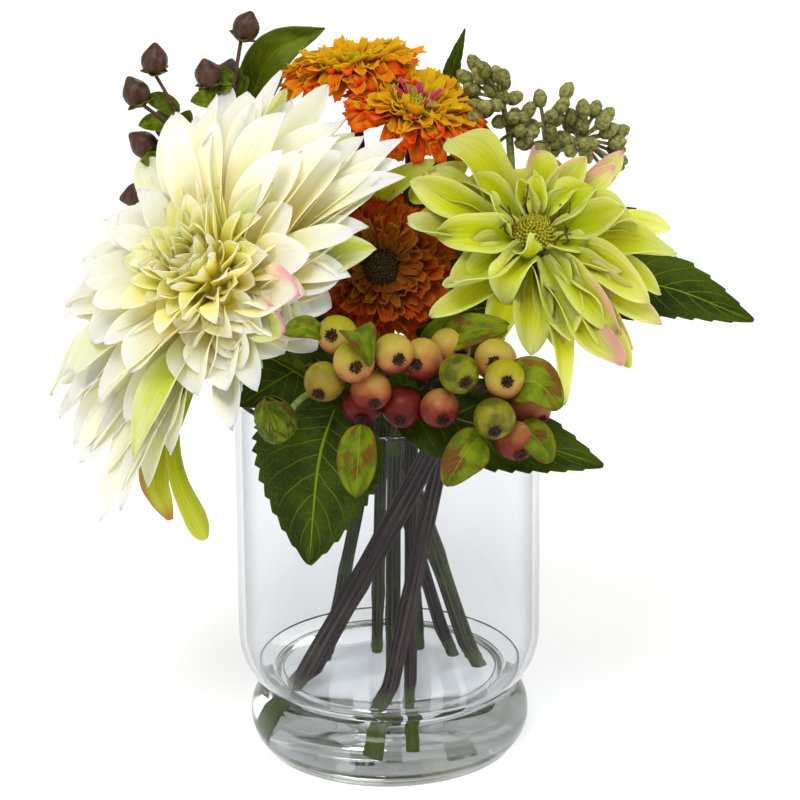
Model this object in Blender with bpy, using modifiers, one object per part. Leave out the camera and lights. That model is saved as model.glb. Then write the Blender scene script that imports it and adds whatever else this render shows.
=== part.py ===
"""Dahlias, gerberas and berries in a clear glass vase.

Metres, +Z up.  The origin is the centre of the vase's foot, on the table, and -Y is the front.
Every petal ring, leaf, stem and sprig is its own closed solid.  Rings of petals are star-shaped
shells nested round a receptacle, with a small gap between neighbours.
"""
import math

import bmesh
import bpy
from mathutils import Matrix, Vector

# ---------------------------------------------------------------- driving dimensions
VASE_RADIUS = 0.0643
VASE_HEIGHT = 0.160
GLASS = 0.003
FLOOR_GLASS = 0.009
NECK_RADIUS = 0.0495
NECK_HEIGHT = 0.0285
BULGE_RADIUS = 0.0596
BULGE_HEIGHT = 0.0130
FOOT_RADIUS = 0.0540
SHOULDER_HEIGHT = 0.051
WATER_LEVEL = 0.035
GAP = 0.0004
STEM_FOOT = 0.0125
PETAL = 0.0010
LEAF = 0.0009

WHITE_CENTRE, WHITE_FACING, WHITE_REACH = (-0.062, -0.026, 0.206), (-0.48, -0.54, 0.69), 0.092
GREEN_CENTRE, GREEN_FACING, GREEN_REACH = (0.060, -0.028, 0.231), (0.05, -0.70, 0.70), 0.058
GERBERAS = {
    "back": {"centre": (-0.014, 0.052, 0.283), "facing": (-0.12, 0.10, 1.0), "lift": -0.001},
    "middle": {"centre": (0.013, 0.026, 0.271), "facing": (0.20, -0.25, 0.95), "lift": 0.001},
    "front": {"centre": (-0.002, -0.014, 0.216), "facing": (0.0, -0.90, 0.42), "lift": 0.003},
}
GERBERA_REACH = 0.028

COLOURS = {
    "glass": (0.85, 0.92, 0.92), "water": (0.80, 0.90, 0.88), "cream": (0.93, 0.90, 0.72),
    "lime": (0.62, 0.72, 0.18), "orange": (0.80, 0.26, 0.04), "dark_disc": (0.09, 0.04, 0.02),
    "leaf": (0.07, 0.16, 0.02), "olive": (0.20, 0.24, 0.10), "stem_brown": (0.10, 0.05, 0.05),
    "stem_green": (0.16, 0.22, 0.06), "berry": (0.62, 0.25, 0.12), "pod": (0.07, 0.03, 0.03),
}


# ---------------------------------------------------------------- scene helpers
def clear_scene():
    for obj in list(bpy.data.objects):
        bpy.data.objects.remove(obj)


def collection(name):
    made = bpy.data.collections.new(name)
    bpy.context.scene.collection.children.link(made)
    return made


def material(name):
    found = bpy.data.materials.get(name)
    if found:
        return found
    made = bpy.data.materials.new(name)
    made.use_nodes = True
    shader = made.node_tree.nodes["Principled BSDF"]
    shader.inputs["Base Color"].default_value = (*COLOURS[name], 1.0)
    shader.inputs["Roughness"].default_value = 0.05 if name in ("glass", "water") else 0.6
    shader.inputs["Metallic"].default_value = 0.0
    return made


def place(obj, name, colour, smooth=True):
    """Names the object, gives it its material and puts it in the bouquet's collection."""
    obj.name = name
    obj.data.name = name
    obj.data.materials.clear()
    obj.data.materials.append(material(colour))
    if smooth and obj.type == "MESH":
        obj.data.shade_smooth()
    BOUQUET.objects.link(obj)
    return obj


def from_bmesh(bm, name, colour):
    mesh = bpy.data.meshes.new(name)
    bm.to_mesh(mesh)
    bm.free()
    return place(bpy.data.objects.new(name, mesh), name, colour)


def solidify(obj, thickness):
    shell = obj.modifiers.new("thickness", "SOLIDIFY")
    shell.thickness = thickness
    shell.offset = 0.0
    return obj


def baked(obj):
    """Turns an object with modifiers, or a curve, into a plain welded mesh object."""
    bpy.context.view_layer.update()
    graph = bpy.context.evaluated_depsgraph_get()
    mesh = bpy.data.meshes.new_from_object(obj.evaluated_get(graph))
    bm = bmesh.new()
    bm.from_mesh(mesh)
    bmesh.ops.remove_doubles(bm, verts=bm.verts, dist=1e-6)
    bm.to_mesh(mesh)
    bm.free()
    made = bpy.data.objects.new(obj.name, mesh)
    made.matrix_world = obj.matrix_world
    bpy.data.objects.remove(obj)
    return made


def boolean(target, tools, operation):
    for tool in tools:
        cut = target.modifiers.new(operation.lower(), "BOOLEAN")
        cut.operation = operation
        cut.solver = "EXACT"
        cut.object = tool
    return target


def frame_at(centre, facing):
    """Local +Z along facing, local +X level, local +Y uphill."""
    normal = Vector(facing).normalized()
    level = Vector((0, 0, 1)).cross(normal)
    level = level.normalized() if level.length > 1e-6 else Vector((1, 0, 0))
    uphill = normal.cross(level)
    turn = Matrix((level, uphill, normal)).transposed()
    return Matrix.Translation(Vector(centre)) @ turn.to_4x4()


# ---------------------------------------------------------------- turned shapes
def arc(centre, radii, start, end, count):
    """Points of an elliptical arc in the (radius, height) plane, angles in degrees."""
    points = []
    for step in range(count + 1):
        angle = math.radians(start + (end - start) * step / count)
        points.append((centre[0] + radii[0] * math.cos(angle), centre[1] + radii[1] * math.sin(angle)))
    return points


def turned(profile, name, colour, steps, matrix=None):
    """A profile of (radius, height) points, ending with the run down its outer side."""
    mesh = bpy.data.meshes.new(name)
    edges = [(i, i + 1) for i in range(len(profile) - 1)]
    mesh.from_pydata([(r, 0, z) for r, z in profile], edges, [])
    obj = place(bpy.data.objects.new(name, mesh), name, colour)
    screw = obj.modifiers.new("turn", "SCREW")
    screw.axis = "Z"
    screw.angle = math.tau
    screw.steps = steps
    screw.render_steps = steps
    screw.use_merge_vertices = True
    screw.merge_threshold = 0.00001
    screw.use_smooth_shade = True
    if matrix:
        obj.matrix_world = matrix
    return obj


def wall_profile(inset):
    """The vase's outer side, top to bottom, moved inwards by inset."""
    body = [(VASE_RADIUS - inset, VASE_HEIGHT - 0.0015), (VASE_RADIUS - inset, SHOULDER_HEIGHT)]
    drop = SHOULDER_HEIGHT - NECK_HEIGHT
    bend = [(p[0] - inset, p[1]) for p in
            arc((NECK_RADIUS, SHOULDER_HEIGHT), (VASE_RADIUS - NECK_RADIUS, drop), -18, -78, 4)]
    neck = [(NECK_RADIUS - inset, NECK_HEIGHT)]
    bulge = arc((BULGE_RADIUS - 0.0095, BULGE_HEIGHT), (0.0095 - inset, BULGE_HEIGHT - inset), 60, -60, 4)
    return body + bend + neck + bulge


def make_vase():
    inner = [p for p in wall_profile(GLASS) if p[1] > FLOOR_GLASS + 0.001]
    outer = wall_profile(0.0)
    rim = [(VASE_RADIUS - GLASS * 0.75, VASE_HEIGHT), (VASE_RADIUS - GLASS * 0.25, VASE_HEIGHT)]
    floor_edge = inner[-1][0] - 0.004
    profile = [(0.0, FLOOR_GLASS), (floor_edge, FLOOR_GLASS)] + inner[::-1] + rim + outer
    profile += [(FOOT_RADIUS, 0.0), (0.0, 0.0)]
    return turned(profile, "vase", "glass", 28)


def make_water(stems):
    inset = GLASS + GAP
    wall = [p for p in wall_profile(inset) if FLOOR_GLASS + 0.001 < p[1] < WATER_LEVEL]
    surface_radius = NECK_RADIUS - inset + 0.0022
    profile = [(0.0, WATER_LEVEL), (surface_radius, WATER_LEVEL)] + wall
    profile += [(wall[-1][0] - 0.0045, FLOOR_GLASS + GAP), (0.0, FLOOR_GLASS + GAP)]
    body = baked(turned(profile, "water", "water", 24))
    place(body, "water", "water")
    return boolean(body, stems, "DIFFERENCE")


# ---------------------------------------------------------------- stems and twigs
def smooth_route(points, count):
    """Points read from one smooth Catmull-Rom curve through the route's own points."""
    knots = [Vector(p) for p in points]
    knots = [knots[0] * 2 - knots[1]] + knots + [knots[-1] * 2 - knots[-2]]
    spans = len(knots) - 3
    found = []
    for step in range(count + 1):
        at = min(step * spans / count, spans - 1e-9)
        i = int(at)
        t = at - i
        a, b, c, d = knots[i:i + 4]
        found.append(0.5 * (2 * b + (c - a) * t + (2 * a - 5 * b + 4 * c - d) * t * t
                            + (3 * b - a - 3 * c + d) * t ** 3))
    return found


def tube(name, colour, points, radius, sides=2, taper=1.0):
    data = bpy.data.curves.new(name, "CURVE")
    data.dimensions = "3D"
    data.bevel_depth = radius
    data.bevel_resolution = sides
    data.use_fill_caps = True
    spline = data.splines.new("POLY")
    spline.points.add(len(points) - 1)
    for i, point in enumerate(points):
        spline.points[i].co = (*point, 1.0)
        spline.points[i].radius = 1.0 + (taper - 1.0) * i / (len(points) - 1)
    return place(bpy.data.objects.new(name, data), name, colour)


# Each stem: radius, and its route from the foot in the vase, through the crossing, to its head.
STEMS = {
    "stem_green_dahlia": (0.0044, "stem_brown", [(-0.046, -0.011, STEM_FOOT), (-0.034, -0.0121, 0.035),
                          (0.014, -0.0165, 0.128), (0.042, -0.014, 0.188), (0.0593, -0.0180, 0.2209)]),
    "stem_white_dahlia": (0.0036, "stem_green", [(0.041, 0.019, STEM_FOOT), (0.0335, 0.0178, 0.035),
                          (0.004, 0.013, 0.128), (-0.018, 0.011, 0.158), (-0.0566, -0.0200, 0.1985)]),
    "stem_eucalyptus": (0.0036, "stem_brown", [(-0.005, -0.034, STEM_FOOT), (0.0005, -0.0286, 0.035),
                        (0.022, -0.007, 0.128), (0.038, 0.010, 0.190), (0.052, 0.028, 0.236)]),
    "stem_berries": (0.0030, "stem_green", [(0.001, -0.013, STEM_FOOT), (0.0014, -0.0114, 0.035),
                     (0.003, -0.005, 0.128), (0.007, -0.022, 0.158), (0.012, -0.046, 0.177)]),
    "stem_gerbera_front": (0.0026, "stem_green", [(-0.006, 0.036, STEM_FOOT), (-0.0054, 0.030, 0.035),
                           (-0.003, 0.006, 0.128), (-0.003, 0.004, 0.180), (-0.002, -0.0044, 0.2114)]),
    "stem_gerbera_middle": (0.0026, "stem_brown", [(0.0085, -0.030, STEM_FOOT), (0.0088, -0.0231, 0.035),
                            (0.010, 0.004, 0.128), (0.012, 0.016, 0.200), (0.0109, 0.0288, 0.2611)]),
    "stem_gerbera_back": (0.0026, "stem_green", [(0.014, 0.040, STEM_FOOT), (0.0124, 0.0372, 0.035),
                          (0.006, 0.026, 0.128), (-0.007, 0.040, 0.205), (-0.0129, 0.0511, 0.2728)]),
    "stem_hypericum": (0.0028, "stem_brown", [(0.030, 0.032, STEM_FOOT), (0.0231, 0.0296, 0.035),
                       (-0.004, 0.020, 0.128), (-0.034, 0.026, 0.180), (-0.058, 0.032, 0.232)]),
    "stem_foliage": (0.0026, "stem_green", [(-0.030, 0.026, STEM_FOOT), (-0.0258, 0.0202, 0.035),
                     (-0.009, -0.003, 0.128), (-0.014, -0.006, 0.158), (-0.018, -0.010, 0.178)]),
}
STEM_STEPS = 12


def make_stems():
    for name, (radius, colour, route) in STEMS.items():
        tube(name, colour, smooth_route(route, STEM_STEPS), radius)


def stem_cutters():
    """Fatter copies of the stems' lowest lengths, which keep the water clear of them."""
    made = []
    for name, (radius, colour, route) in STEMS.items():
        line = smooth_route(route, STEM_STEPS)
        low = line[:1 + sum(1 for p in line if p.z < WATER_LEVEL + 0.003)]
        low.insert(0, low[0] - (low[1] - low[0]).normalized() * 0.006)
        cutter = baked(tube("cut_" + name, colour, low, radius + GAP))
        CUTTERS.objects.link(cutter)
        cutter.hide_render = True
        cutter.display_type = "WIRE"
        made.append(cutter)
    return made


# ---------------------------------------------------------------- petals
def bump(angle, centre, width):
    """A smooth hill in the angle, in degrees, 1 at its centre."""
    away = (angle - centre + 180) % 360 - 180
    return math.exp(-(away / width) ** 2)


def white_reach(angle):
    """The big flower's petals are longest below and short where they lean on their neighbours."""
    long = 0.14 * bump(angle, -102, 22) + 0.10 * bump(angle, 108, 36)
    return 0.99 + long - 0.50 * bump(angle, -40, 30) - 0.45 * bump(angle, 15, 32)


def green_reach(angle):
    return 1.0 - 0.30 * bump(angle, -112, 24) - 0.12 * bump(angle, 118, 20)


def even_reach(angle):
    return 1.0


def white_lift(angle):
    """Its upper petals stand up from the flower's plane and its lower ones hang back from it."""
    return 0.020 * bump(angle, 112, 44) - 0.008 * bump(angle, -95, 50)


def no_lift(angle):
    return 0.0


def petal_ring(name, colour, head, petals, hub, tip, arch, valley=0.76, steps=3, reach=even_reach,
               lift=no_lift, turn=0.0, thickness=PETAL):
    """A star-shaped shell: hub and tip are (radius, height) in the head's frame."""
    columns = petals * 2
    bm = bmesh.new()
    bmesh.ops.create_grid(bm, x_segments=columns, y_segments=steps, size=0.5)
    for vertex in bm.verts:
        column = round((vertex.co.x + 0.5) * columns)
        out = vertex.co.y + 0.5
        angle = 360.0 * column / columns + turn
        length = tip[0] * reach(angle) * (1.0 if column % 2 else valley)
        radius = hub[0] + out * (length - hub[0])
        share = (radius - hub[0]) / (tip[0] - hub[0])
        height = hub[1] + (tip[1] - hub[1]) * share + arch * 4 * share * (1 - share) + lift(angle) * share
        around = math.radians(angle)
        vertex.co = head @ Vector((radius * math.cos(around), radius * math.sin(around), height))
    bmesh.ops.remove_doubles(bm, verts=bm.verts, dist=0.00001)
    bmesh.ops.recalc_face_normals(bm, faces=bm.faces)
    return solidify(from_bmesh(bm, name, colour), thickness)


def make_white_dahlia():
    head = frame_at(WHITE_CENTRE, WHITE_FACING)
    core = [(0.0, 0.024), (0.0045, 0.023), (0.0100, 0.013), (0.0125, 0.001), (0.0125, -0.003),
            (0.0080, -0.0095), (0.0, -0.0100)]
    turned(core, "white_dahlia_receptacle", "leaf", 16, head)
    rings = [
        ("white_dahlia_petals_outer", 15, (0.0140, -0.001), (WHITE_REACH, -0.011), 0.004, 0),
        ("white_dahlia_petals_second", 14, (0.0138, 0.003), (WHITE_REACH * 0.90, 0.006), 0.006, 9),
        ("white_dahlia_petals_third", 13, (0.0130, 0.007), (WHITE_REACH * 0.74, 0.020), 0.007, 3),
        ("white_dahlia_petals_inner", 11, (0.0112, 0.012), (WHITE_REACH * 0.52, 0.033), 0.006, 7),
    ]
    for name, petals, hub, tip, arch, turn in rings:
        petal_ring(name, "cream", head, petals, hub, tip, arch, reach=white_reach, lift=white_lift, turn=turn)
    heart = [(0.0, 0.044), (0.009, 0.0425), (0.0165, 0.036), (0.0160, 0.031), (0.0080, 0.0245), (0.0, 0.0245)]
    turned(heart, "white_dahlia_heart", "cream", 14, head)


def make_green_dahlia():
    head = frame_at(GREEN_CENTRE, GREEN_FACING)
    core = [(0.0, 0.0035), (0.0085, 0.0030), (0.0088, -0.004), (0.0060, -0.0100), (0.0, -0.0105)]
    turned(core, "green_dahlia_receptacle", "leaf", 14, head)
    rings = [
        ("green_dahlia_petals_outer", 11, (0.0100, -0.0035), (GREEN_REACH, -0.005), 0.004, 0),
        ("green_dahlia_petals_middle", 10, (0.0100, -0.0005), (GREEN_REACH * 0.84, 0.009), 0.004, 12),
        ("green_dahlia_petals_inner", 8, (0.0102, 0.0032), (GREEN_REACH * 0.58, 0.020), 0.002, 5),
    ]
    for name, petals, hub, tip, arch, turn in rings:
        petal_ring(name, "lime", head, petals, hub, tip, arch, reach=green_reach, turn=turn)
    disc = [(0.0, 0.0125), (0.0055, 0.0115), (0.0088, 0.0070), (0.0088, 0.0045), (0.0, 0.0042)]
    turned(disc, "green_dahlia_disc", "lime", 14, head)


def make_gerbera(key, centre, facing, lift):
    head = frame_at(centre, facing)
    prefix = "gerbera_" + key
    core = [(0.0, 0.0002), (0.0062, 0.0), (0.0066, -0.004), (0.0040, -0.0085), (0.0, -0.0088)]
    turned(core, prefix + "_receptacle", "leaf", 12, head)
    petal_ring(prefix + "_petals_outer", "orange", head, 15, (0.0075, -0.0015), (GERBERA_REACH, lift - 0.001),
               0.001, valley=0.86, steps=2)
    petal_ring(prefix + "_petals_inner", "orange", head, 12, (0.0075, 0.0010), (GERBERA_REACH * 0.72, lift + 0.0065),
               0.001, valley=0.84, steps=2, turn=8)
    disc = [(0.0, 0.0040), (0.0040, 0.0036), (0.0060, 0.0018), (0.0060, 0.0009), (0.0, 0.0009)]
    turned(disc, prefix + "_disc", "dark_disc", 12, head)


# ---------------------------------------------------------------- leaves
def leaf_outline(along):
    """Half width, as a share of the leaf's greatest: narrow stalk, broad middle, pointed tip."""
    return max(0.05, math.sin(math.pi * along ** 0.75) ** 0.85)


def bract_outline(along):
    return max(0.22, math.sin(math.pi * min(along, 0.93)) ** 0.5)


def leaf(name, route, facing, width, colour="leaf", fold=0.10, rows=6, outline=leaf_outline, thickness=LEAF):
    """A blade whose midrib is a smooth curve through route, turned to face facing."""
    midrib = smooth_route(route, rows)
    bm = bmesh.new()
    bmesh.ops.create_grid(bm, x_segments=4, y_segments=rows, size=0.5)
    for vertex in bm.verts:
        row = round((vertex.co.y + 0.5) * rows)
        across = vertex.co.x * 2
        ahead = midrib[min(row + 1, rows)] - midrib[max(row - 1, 0)]
        side = ahead.cross(Vector(facing)).normalized()
        up = side.cross(ahead).normalized()
        half = width / 2 * outline(row / rows)
        vertex.co = midrib[row] + side * (across * half) + up * (abs(across) * half * fold)
    bmesh.ops.recalc_face_normals(bm, faces=bm.faces)
    return solidify(from_bmesh(bm, name, colour), thickness)


LEAVES = {
    "leaf_front_left": ([(-0.020, -0.055, 0.172), (-0.027, -0.064, 0.150), (-0.032, -0.066, 0.106)],
                        (-0.38, -0.88, 0.20), 0.060),
    "leaf_front_right": ([(0.000, -0.052, 0.172), (0.040, -0.062, 0.163), (0.087, -0.066, 0.148)],
                         (0.10, -0.78, 0.62), 0.040),
    "leaf_right": ([(0.070, 0.006, 0.196), (0.110, 0.002, 0.202), (0.152, -0.006, 0.189)],
                   (0.05, -0.70, 0.70), 0.034),
    "leaf_right_upper": ([(0.078, 0.014, 0.212), (0.096, 0.016, 0.223), (0.114, 0.015, 0.226)],
                         (0.0, -0.60, 0.80), 0.022),
    "leaf_under_left": ([(-0.020, -0.018, 0.178), (-0.036, -0.032, 0.188), (-0.052, -0.046, 0.192)],
                        (-0.10, -0.80, 0.60), 0.034),
    "leaf_under_right": ([(0.012, -0.024, 0.176), (0.030, -0.036, 0.188), (0.048, -0.046, 0.196)],
                         (0.10, -0.80, 0.60), 0.030),
    "leaf_top_left": ([(-0.060, 0.066, 0.256), (-0.048, 0.068, 0.284), (-0.025, 0.068, 0.296)],
                      (0.20, -0.80, 0.40), 0.026),
    "leaf_top_right": ([(0.025, 0.056, 0.250), (0.027, 0.056, 0.274), (0.034, 0.057, 0.298)],
                       (-0.30, -0.95, 0.0), 0.008),
    "leaf_back_left": ([(-0.016, 0.038, 0.176), (-0.040, 0.056, 0.196), (-0.070, 0.074, 0.194)],
                       (-0.20, 0.40, 0.90), 0.040),
    "leaf_back_right": ([(0.028, 0.026, 0.180), (0.044, 0.054, 0.204), (0.060, 0.082, 0.206)],
                        (0.20, 0.40, 0.90), 0.040),
    "leaf_back_middle": ([(0.014, 0.036, 0.174), (0.006, 0.064, 0.194), (0.000, 0.094, 0.188)],
                         (0.0, 0.45, 0.90), 0.034),
}
BRACTS = {
    "white_dahlia_bract_long": ([(-0.0620, -0.0340, 0.188), (-0.0720, -0.042, 0.155), (-0.0770, -0.048, 0.110)],
                                (0.25, -0.90, 0.10), 0.012),
    "white_dahlia_bract_short": ([(-0.0760, -0.0260, 0.186), (-0.0860, -0.036, 0.160), (-0.0885, -0.044, 0.122)],
                                 (-0.20, -0.90, 0.10), 0.014),
}


def make_leaves():
    for name, (route, facing, width) in LEAVES.items():
        leaf(name, route, facing, width)
    for name, (route, facing, width) in BRACTS.items():
        leaf(name, route, facing, width, colour="lime", fold=-0.25, rows=6, outline=bract_outline)


# ---------------------------------------------------------------- sprigs of fruit
def ball(centre, radii, axis, segments=8, rings=5):
    """A rounded fruit with its long side along axis."""
    bm = bmesh.new()
    bmesh.ops.create_uvsphere(bm, u_segments=segments, v_segments=rings, radius=1.0)
    turn = Vector(axis).to_track_quat("Z", "Y").to_matrix().to_4x4() @ Matrix.Rotation(0.23, 4, "Z")
    size = Matrix.Diagonal((radii[0], radii[0], radii[1], 1.0))
    bmesh.ops.transform(bm, matrix=Matrix.Translation(Vector(centre)) @ turn @ size, verts=bm.verts)
    mesh = bpy.data.meshes.new("ball")
    bm.to_mesh(mesh)
    bm.free()
    return bpy.data.objects.new("ball", mesh)


def sprig(name, colour, root, fork, fruits, radii, twig, segments=8, rings=5):
    """Fruits joined by twigs: one from root to fork, and one from the fork to each fruit."""
    trunk = baked(tube(name + "_trunk", colour, [root, fork], twig * 1.3, sides=1))
    place(trunk, name, colour)
    tools = [ball(fork, (twig * 1.9, twig * 1.9), (0.2, 0.1, 1.0), 7, 5)]
    for i, (centre, axis) in enumerate(fruits):
        centre = Vector(centre)
        start = Vector(fork) + (centre - Vector(fork)).normalized() * twig * 0.5
        end = centre - (centre - start).normalized() * radii[0] * 0.4
        tools.append(baked(tube(f"{name}_twig{i}", colour, [start, end], twig, sides=0)))
        tools.append(ball(centre, radii, axis, segments, rings))
    for tool in tools:
        CUTTERS.objects.link(tool)
        tool.hide_render = True
        tool.display_type = "WIRE"
    return boolean(trunk, tools, "UNION")


BERRY = (0.0072, 0.0070)
BERRY_SPRIGS = {
    "berries_left": ((0.000, -0.052, 0.182), (-0.010, -0.062, 0.187), [
        (-0.0193, -0.062, 0.2035), (-0.0130, -0.078, 0.1973), (0.0029, -0.074, 0.1994),
        (-0.0250, -0.070, 0.1866), (-0.0059, -0.074, 0.1840), (-0.0100, -0.066, 0.1750)]),
    "berries_middle": ((0.013, -0.0505, 0.1795), (0.0172, -0.0625, 0.1833), [
        (0.0145, -0.064, 0.1935), (0.0255, -0.054, 0.1944), (0.0290, -0.078, 0.1924),
        (0.0065, -0.067, 0.1745), (0.0215, -0.074, 0.1762)]),
    "berries_right": ((0.0260, -0.0560, 0.1800), (0.042, -0.066, 0.1805), [
        (0.0436, -0.066, 0.1940), (0.0473, -0.076, 0.1895), (0.0427, -0.084, 0.1754),
        (0.0580, -0.064, 0.1720), (0.0515, -0.077, 0.1630)]),
}
HYPERICUM_SPRIGS = {
    "hypericum_left": ((-0.0610, 0.036, 0.236), (-0.080, 0.056, 0.248), [
        (-0.0964, 0.050, 0.287), (-0.1043, 0.050, 0.2733), (-0.0884, 0.058, 0.2410),
        (-0.1022, 0.058, 0.2481), (-0.1060, 0.058, 0.2254), (-0.0922, 0.058, 0.2561)]),
    "hypericum_right": ((-0.0600, 0.038, 0.240), (-0.066, 0.052, 0.260), [
        (-0.0742, 0.050, 0.2805), (-0.0665, 0.060, 0.2774), (-0.0578, 0.050, 0.3010)]),
}
EUCALYPTUS_SPRIGS = {
    "eucalyptus_left": ((0.053, 0.030, 0.242), (0.052, 0.034, 0.258), [
        (0.0465, 0.036, 0.2835), (0.0365, 0.036, 0.2770), (0.0445, 0.038, 0.2765), 
        (0.0540, 0.034, 0.2740), (0.0420, 0.038, 0.2670), (0.0480, 0.030, 0.2650), (0.0600, 0.036, 0.2680),
        (0.0440, 0.028, 0.2540), (0.0560, 0.026, 0.2620)]),
    "eucalyptus_right": ((0.0565, 0.028, 0.240), (0.068, 0.034, 0.250), [
        (0.0650, 0.036, 0.2730), (0.0740, 0.036, 0.2700), (0.0825, 0.034, 0.2620), (0.0930, 0.034, 0.2590),
        (0.0975, 0.034, 0.2470), (0.0920, 0.032, 0.2440), (0.0690, 0.030, 0.2600), (0.0770, 0.030, 0.2560),
        (0.0840, 0.032, 0.2500), (0.0780, 0.034, 0.2400), (0.0640, 0.026, 0.2540)]),
}


def outward(fruits, fork):
    return [(centre, Vector(centre) - Vector(fork)) for centre in fruits]


def make_sprigs():
    for name, (root, fork, fruits) in BERRY_SPRIGS.items():
        sprig(name, "berry", root, fork, outward(fruits, fork), BERRY, 0.0010)
    for name, (root, fork, fruits) in HYPERICUM_SPRIGS.items():
        sprig(name, "pod", root, fork, outward(fruits, fork), (0.0050, 0.0064), 0.0010, 7, 5)
    for name, (root, fork, fruits) in EUCALYPTUS_SPRIGS.items():
        sprig(name, "olive", root, fork, outward(fruits, fork), (0.0030, 0.0038), 0.0008, 6, 4)
    bud = (-0.0470, -0.0680, 0.1730)
    sprig("bud", "olive", (-0.030, -0.058, 0.178), (-0.034, -0.0605, 0.177), [(bud, (0.0, 0.0, 1.0))],
          (0.0080, 0.0100), 0.0015, 8, 6)


# ---------------------------------------------------------------- build
clear_scene()
BOUQUET = collection("dahlias_in_vase")
CUTTERS = collection("cutters")
make_vase()
make_stems()
make_water(stem_cutters())
make_white_dahlia()
make_green_dahlia()
for key, values in GERBERAS.items():
    make_gerbera(key, **values)
make_leaves()
make_sprigs()
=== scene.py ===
# %% [markdown]
# # Dahlias in a glass vase
# This lesson finishes a bunch of silk flowers in a clear vase.  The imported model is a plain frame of
# solids: it says where every ring of petals, leaf, stem and berry goes.  Here each of those solids
# gets its real shape and its finish, and stays where the frame put it.

# %% Load the frame
import math
import random

import bmesh
import bpy
from mathutils import Matrix, Vector


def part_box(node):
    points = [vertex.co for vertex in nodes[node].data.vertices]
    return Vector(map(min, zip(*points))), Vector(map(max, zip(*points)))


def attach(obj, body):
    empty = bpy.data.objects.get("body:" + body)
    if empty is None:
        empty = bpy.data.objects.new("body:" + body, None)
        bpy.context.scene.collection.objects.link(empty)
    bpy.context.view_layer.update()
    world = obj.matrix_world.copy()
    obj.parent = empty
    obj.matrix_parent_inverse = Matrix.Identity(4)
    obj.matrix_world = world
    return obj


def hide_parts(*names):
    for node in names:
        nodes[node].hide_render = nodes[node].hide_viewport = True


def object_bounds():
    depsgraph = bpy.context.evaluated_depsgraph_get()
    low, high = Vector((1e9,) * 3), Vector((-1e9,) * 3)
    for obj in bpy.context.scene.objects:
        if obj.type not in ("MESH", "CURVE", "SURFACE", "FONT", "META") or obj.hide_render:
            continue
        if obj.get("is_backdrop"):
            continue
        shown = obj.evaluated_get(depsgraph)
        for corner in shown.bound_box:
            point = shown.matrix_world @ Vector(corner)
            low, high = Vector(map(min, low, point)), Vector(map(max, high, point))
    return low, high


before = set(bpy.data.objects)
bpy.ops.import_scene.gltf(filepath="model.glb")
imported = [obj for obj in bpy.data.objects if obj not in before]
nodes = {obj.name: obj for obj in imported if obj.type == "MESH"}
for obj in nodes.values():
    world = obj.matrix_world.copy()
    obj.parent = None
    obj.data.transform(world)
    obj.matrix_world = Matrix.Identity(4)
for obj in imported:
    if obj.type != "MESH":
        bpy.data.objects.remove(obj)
cad_low, cad_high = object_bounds()
print("CAD nodes:", len(nodes), "box", [round(v, 4) for v in (*cad_low, *cad_high)])

# %% [markdown]
# Many places are given in percent of a node's own box, from 0 at its lowest corner to 100 at its
# highest, so that they follow the frame if it is packed again.  A head of petals has a local frame:
# Z points the way that the flower faces, X is level and Y runs uphill.  It is read from two turned
# solids on the flower's own axis.  Blender counts in metres, and the tables of sizes in millimetres.


# %% Places read from the frame
MM = 0.001


def metres(values):
    return [value * MM for value in values]


def inside(node, percent):
    """A point given in percent of a node's box."""
    low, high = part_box(node)
    return Vector([low[i] + (high[i] - low[i]) * (percent[i] / 100) for i in range(3)])


def distinct_points(node):
    """A CAD mesh is loose triangles, so each corner is taken once."""
    found = {tuple(round(c, 6) for c in v.co): v.co.copy() for v in nodes[node].data.vertices}
    return list(found.values())


def head_frame(base, top, depth):
    """The frame of a flower head whose petal plane is depth above the foot of its base solid."""
    low, high = distinct_points(base), distinct_points(top)
    foot = sum(low, Vector()) / len(low)
    facing = (sum(high, Vector()) / len(high) - foot).normalized()
    lowest = min((p - foot).dot(facing) for p in low)
    level = Vector((0, 0, 1)).cross(facing).normalized()
    turn = Matrix((level, facing.cross(level), facing)).transposed()
    return Matrix.Translation(foot + facing * (lowest + depth)) @ turn.to_4x4()


WHITE_HEAD = head_frame("white_dahlia_receptacle", "white_dahlia_heart", 0.0100)
GREEN_HEAD = head_frame("green_dahlia_receptacle", "green_dahlia_disc", 0.0105)
GERBERA_HEADS = {key: head_frame(f"gerbera_{key}_receptacle", f"gerbera_{key}_disc", 0.0088)
                 for key in ("back", "middle", "front")}
print("white head at", WHITE_HEAD.translation, "green head at", GREEN_HEAD.translation)

# %% [markdown]
# The camera stands at the height of a person looking a little down at a table, far enough away for
# a flat, catalogue-like perspective.  It is set first, so that every later choice can be looked at.

# %% Camera
CAMERA_DISTANCE, CAMERA_TILT, CAMERA_ROLL = 1.6, math.radians(20.0), math.radians(0.45)
middle = (cad_low + cad_high) / 2
target = Vector((middle.x - 0.0029, 0.0, middle.z - 0.0007))
camera_data = bpy.data.cameras.new("camera")
camera_data.lens, camera_data.sensor_width = 171.8, 36.0
camera = bpy.data.objects.new("camera", camera_data)
bpy.context.scene.collection.objects.link(camera)
away = Vector((0.0, -math.cos(CAMERA_TILT), math.sin(CAMERA_TILT)))
camera.matrix_world = (Matrix.Translation(target + away * CAMERA_DISTANCE)
                       @ away.to_track_quat("Z", "Y").to_matrix().to_4x4()
                       @ Matrix.Rotation(-CAMERA_ROLL, 4, "Z"))
bpy.context.scene.camera = camera
bpy.context.scene.view_settings.view_transform = "Standard"
print("camera at", [round(v, 3) for v in camera.matrix_world.translation])

# %% [markdown]
# The light is that of a product table: a pale surround that lights everything from all sides, and
# three large soft lamps.  The surround is darkest some way above the horizon, which draws the thin
# grey lines along the edges of the clear glass.

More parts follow.
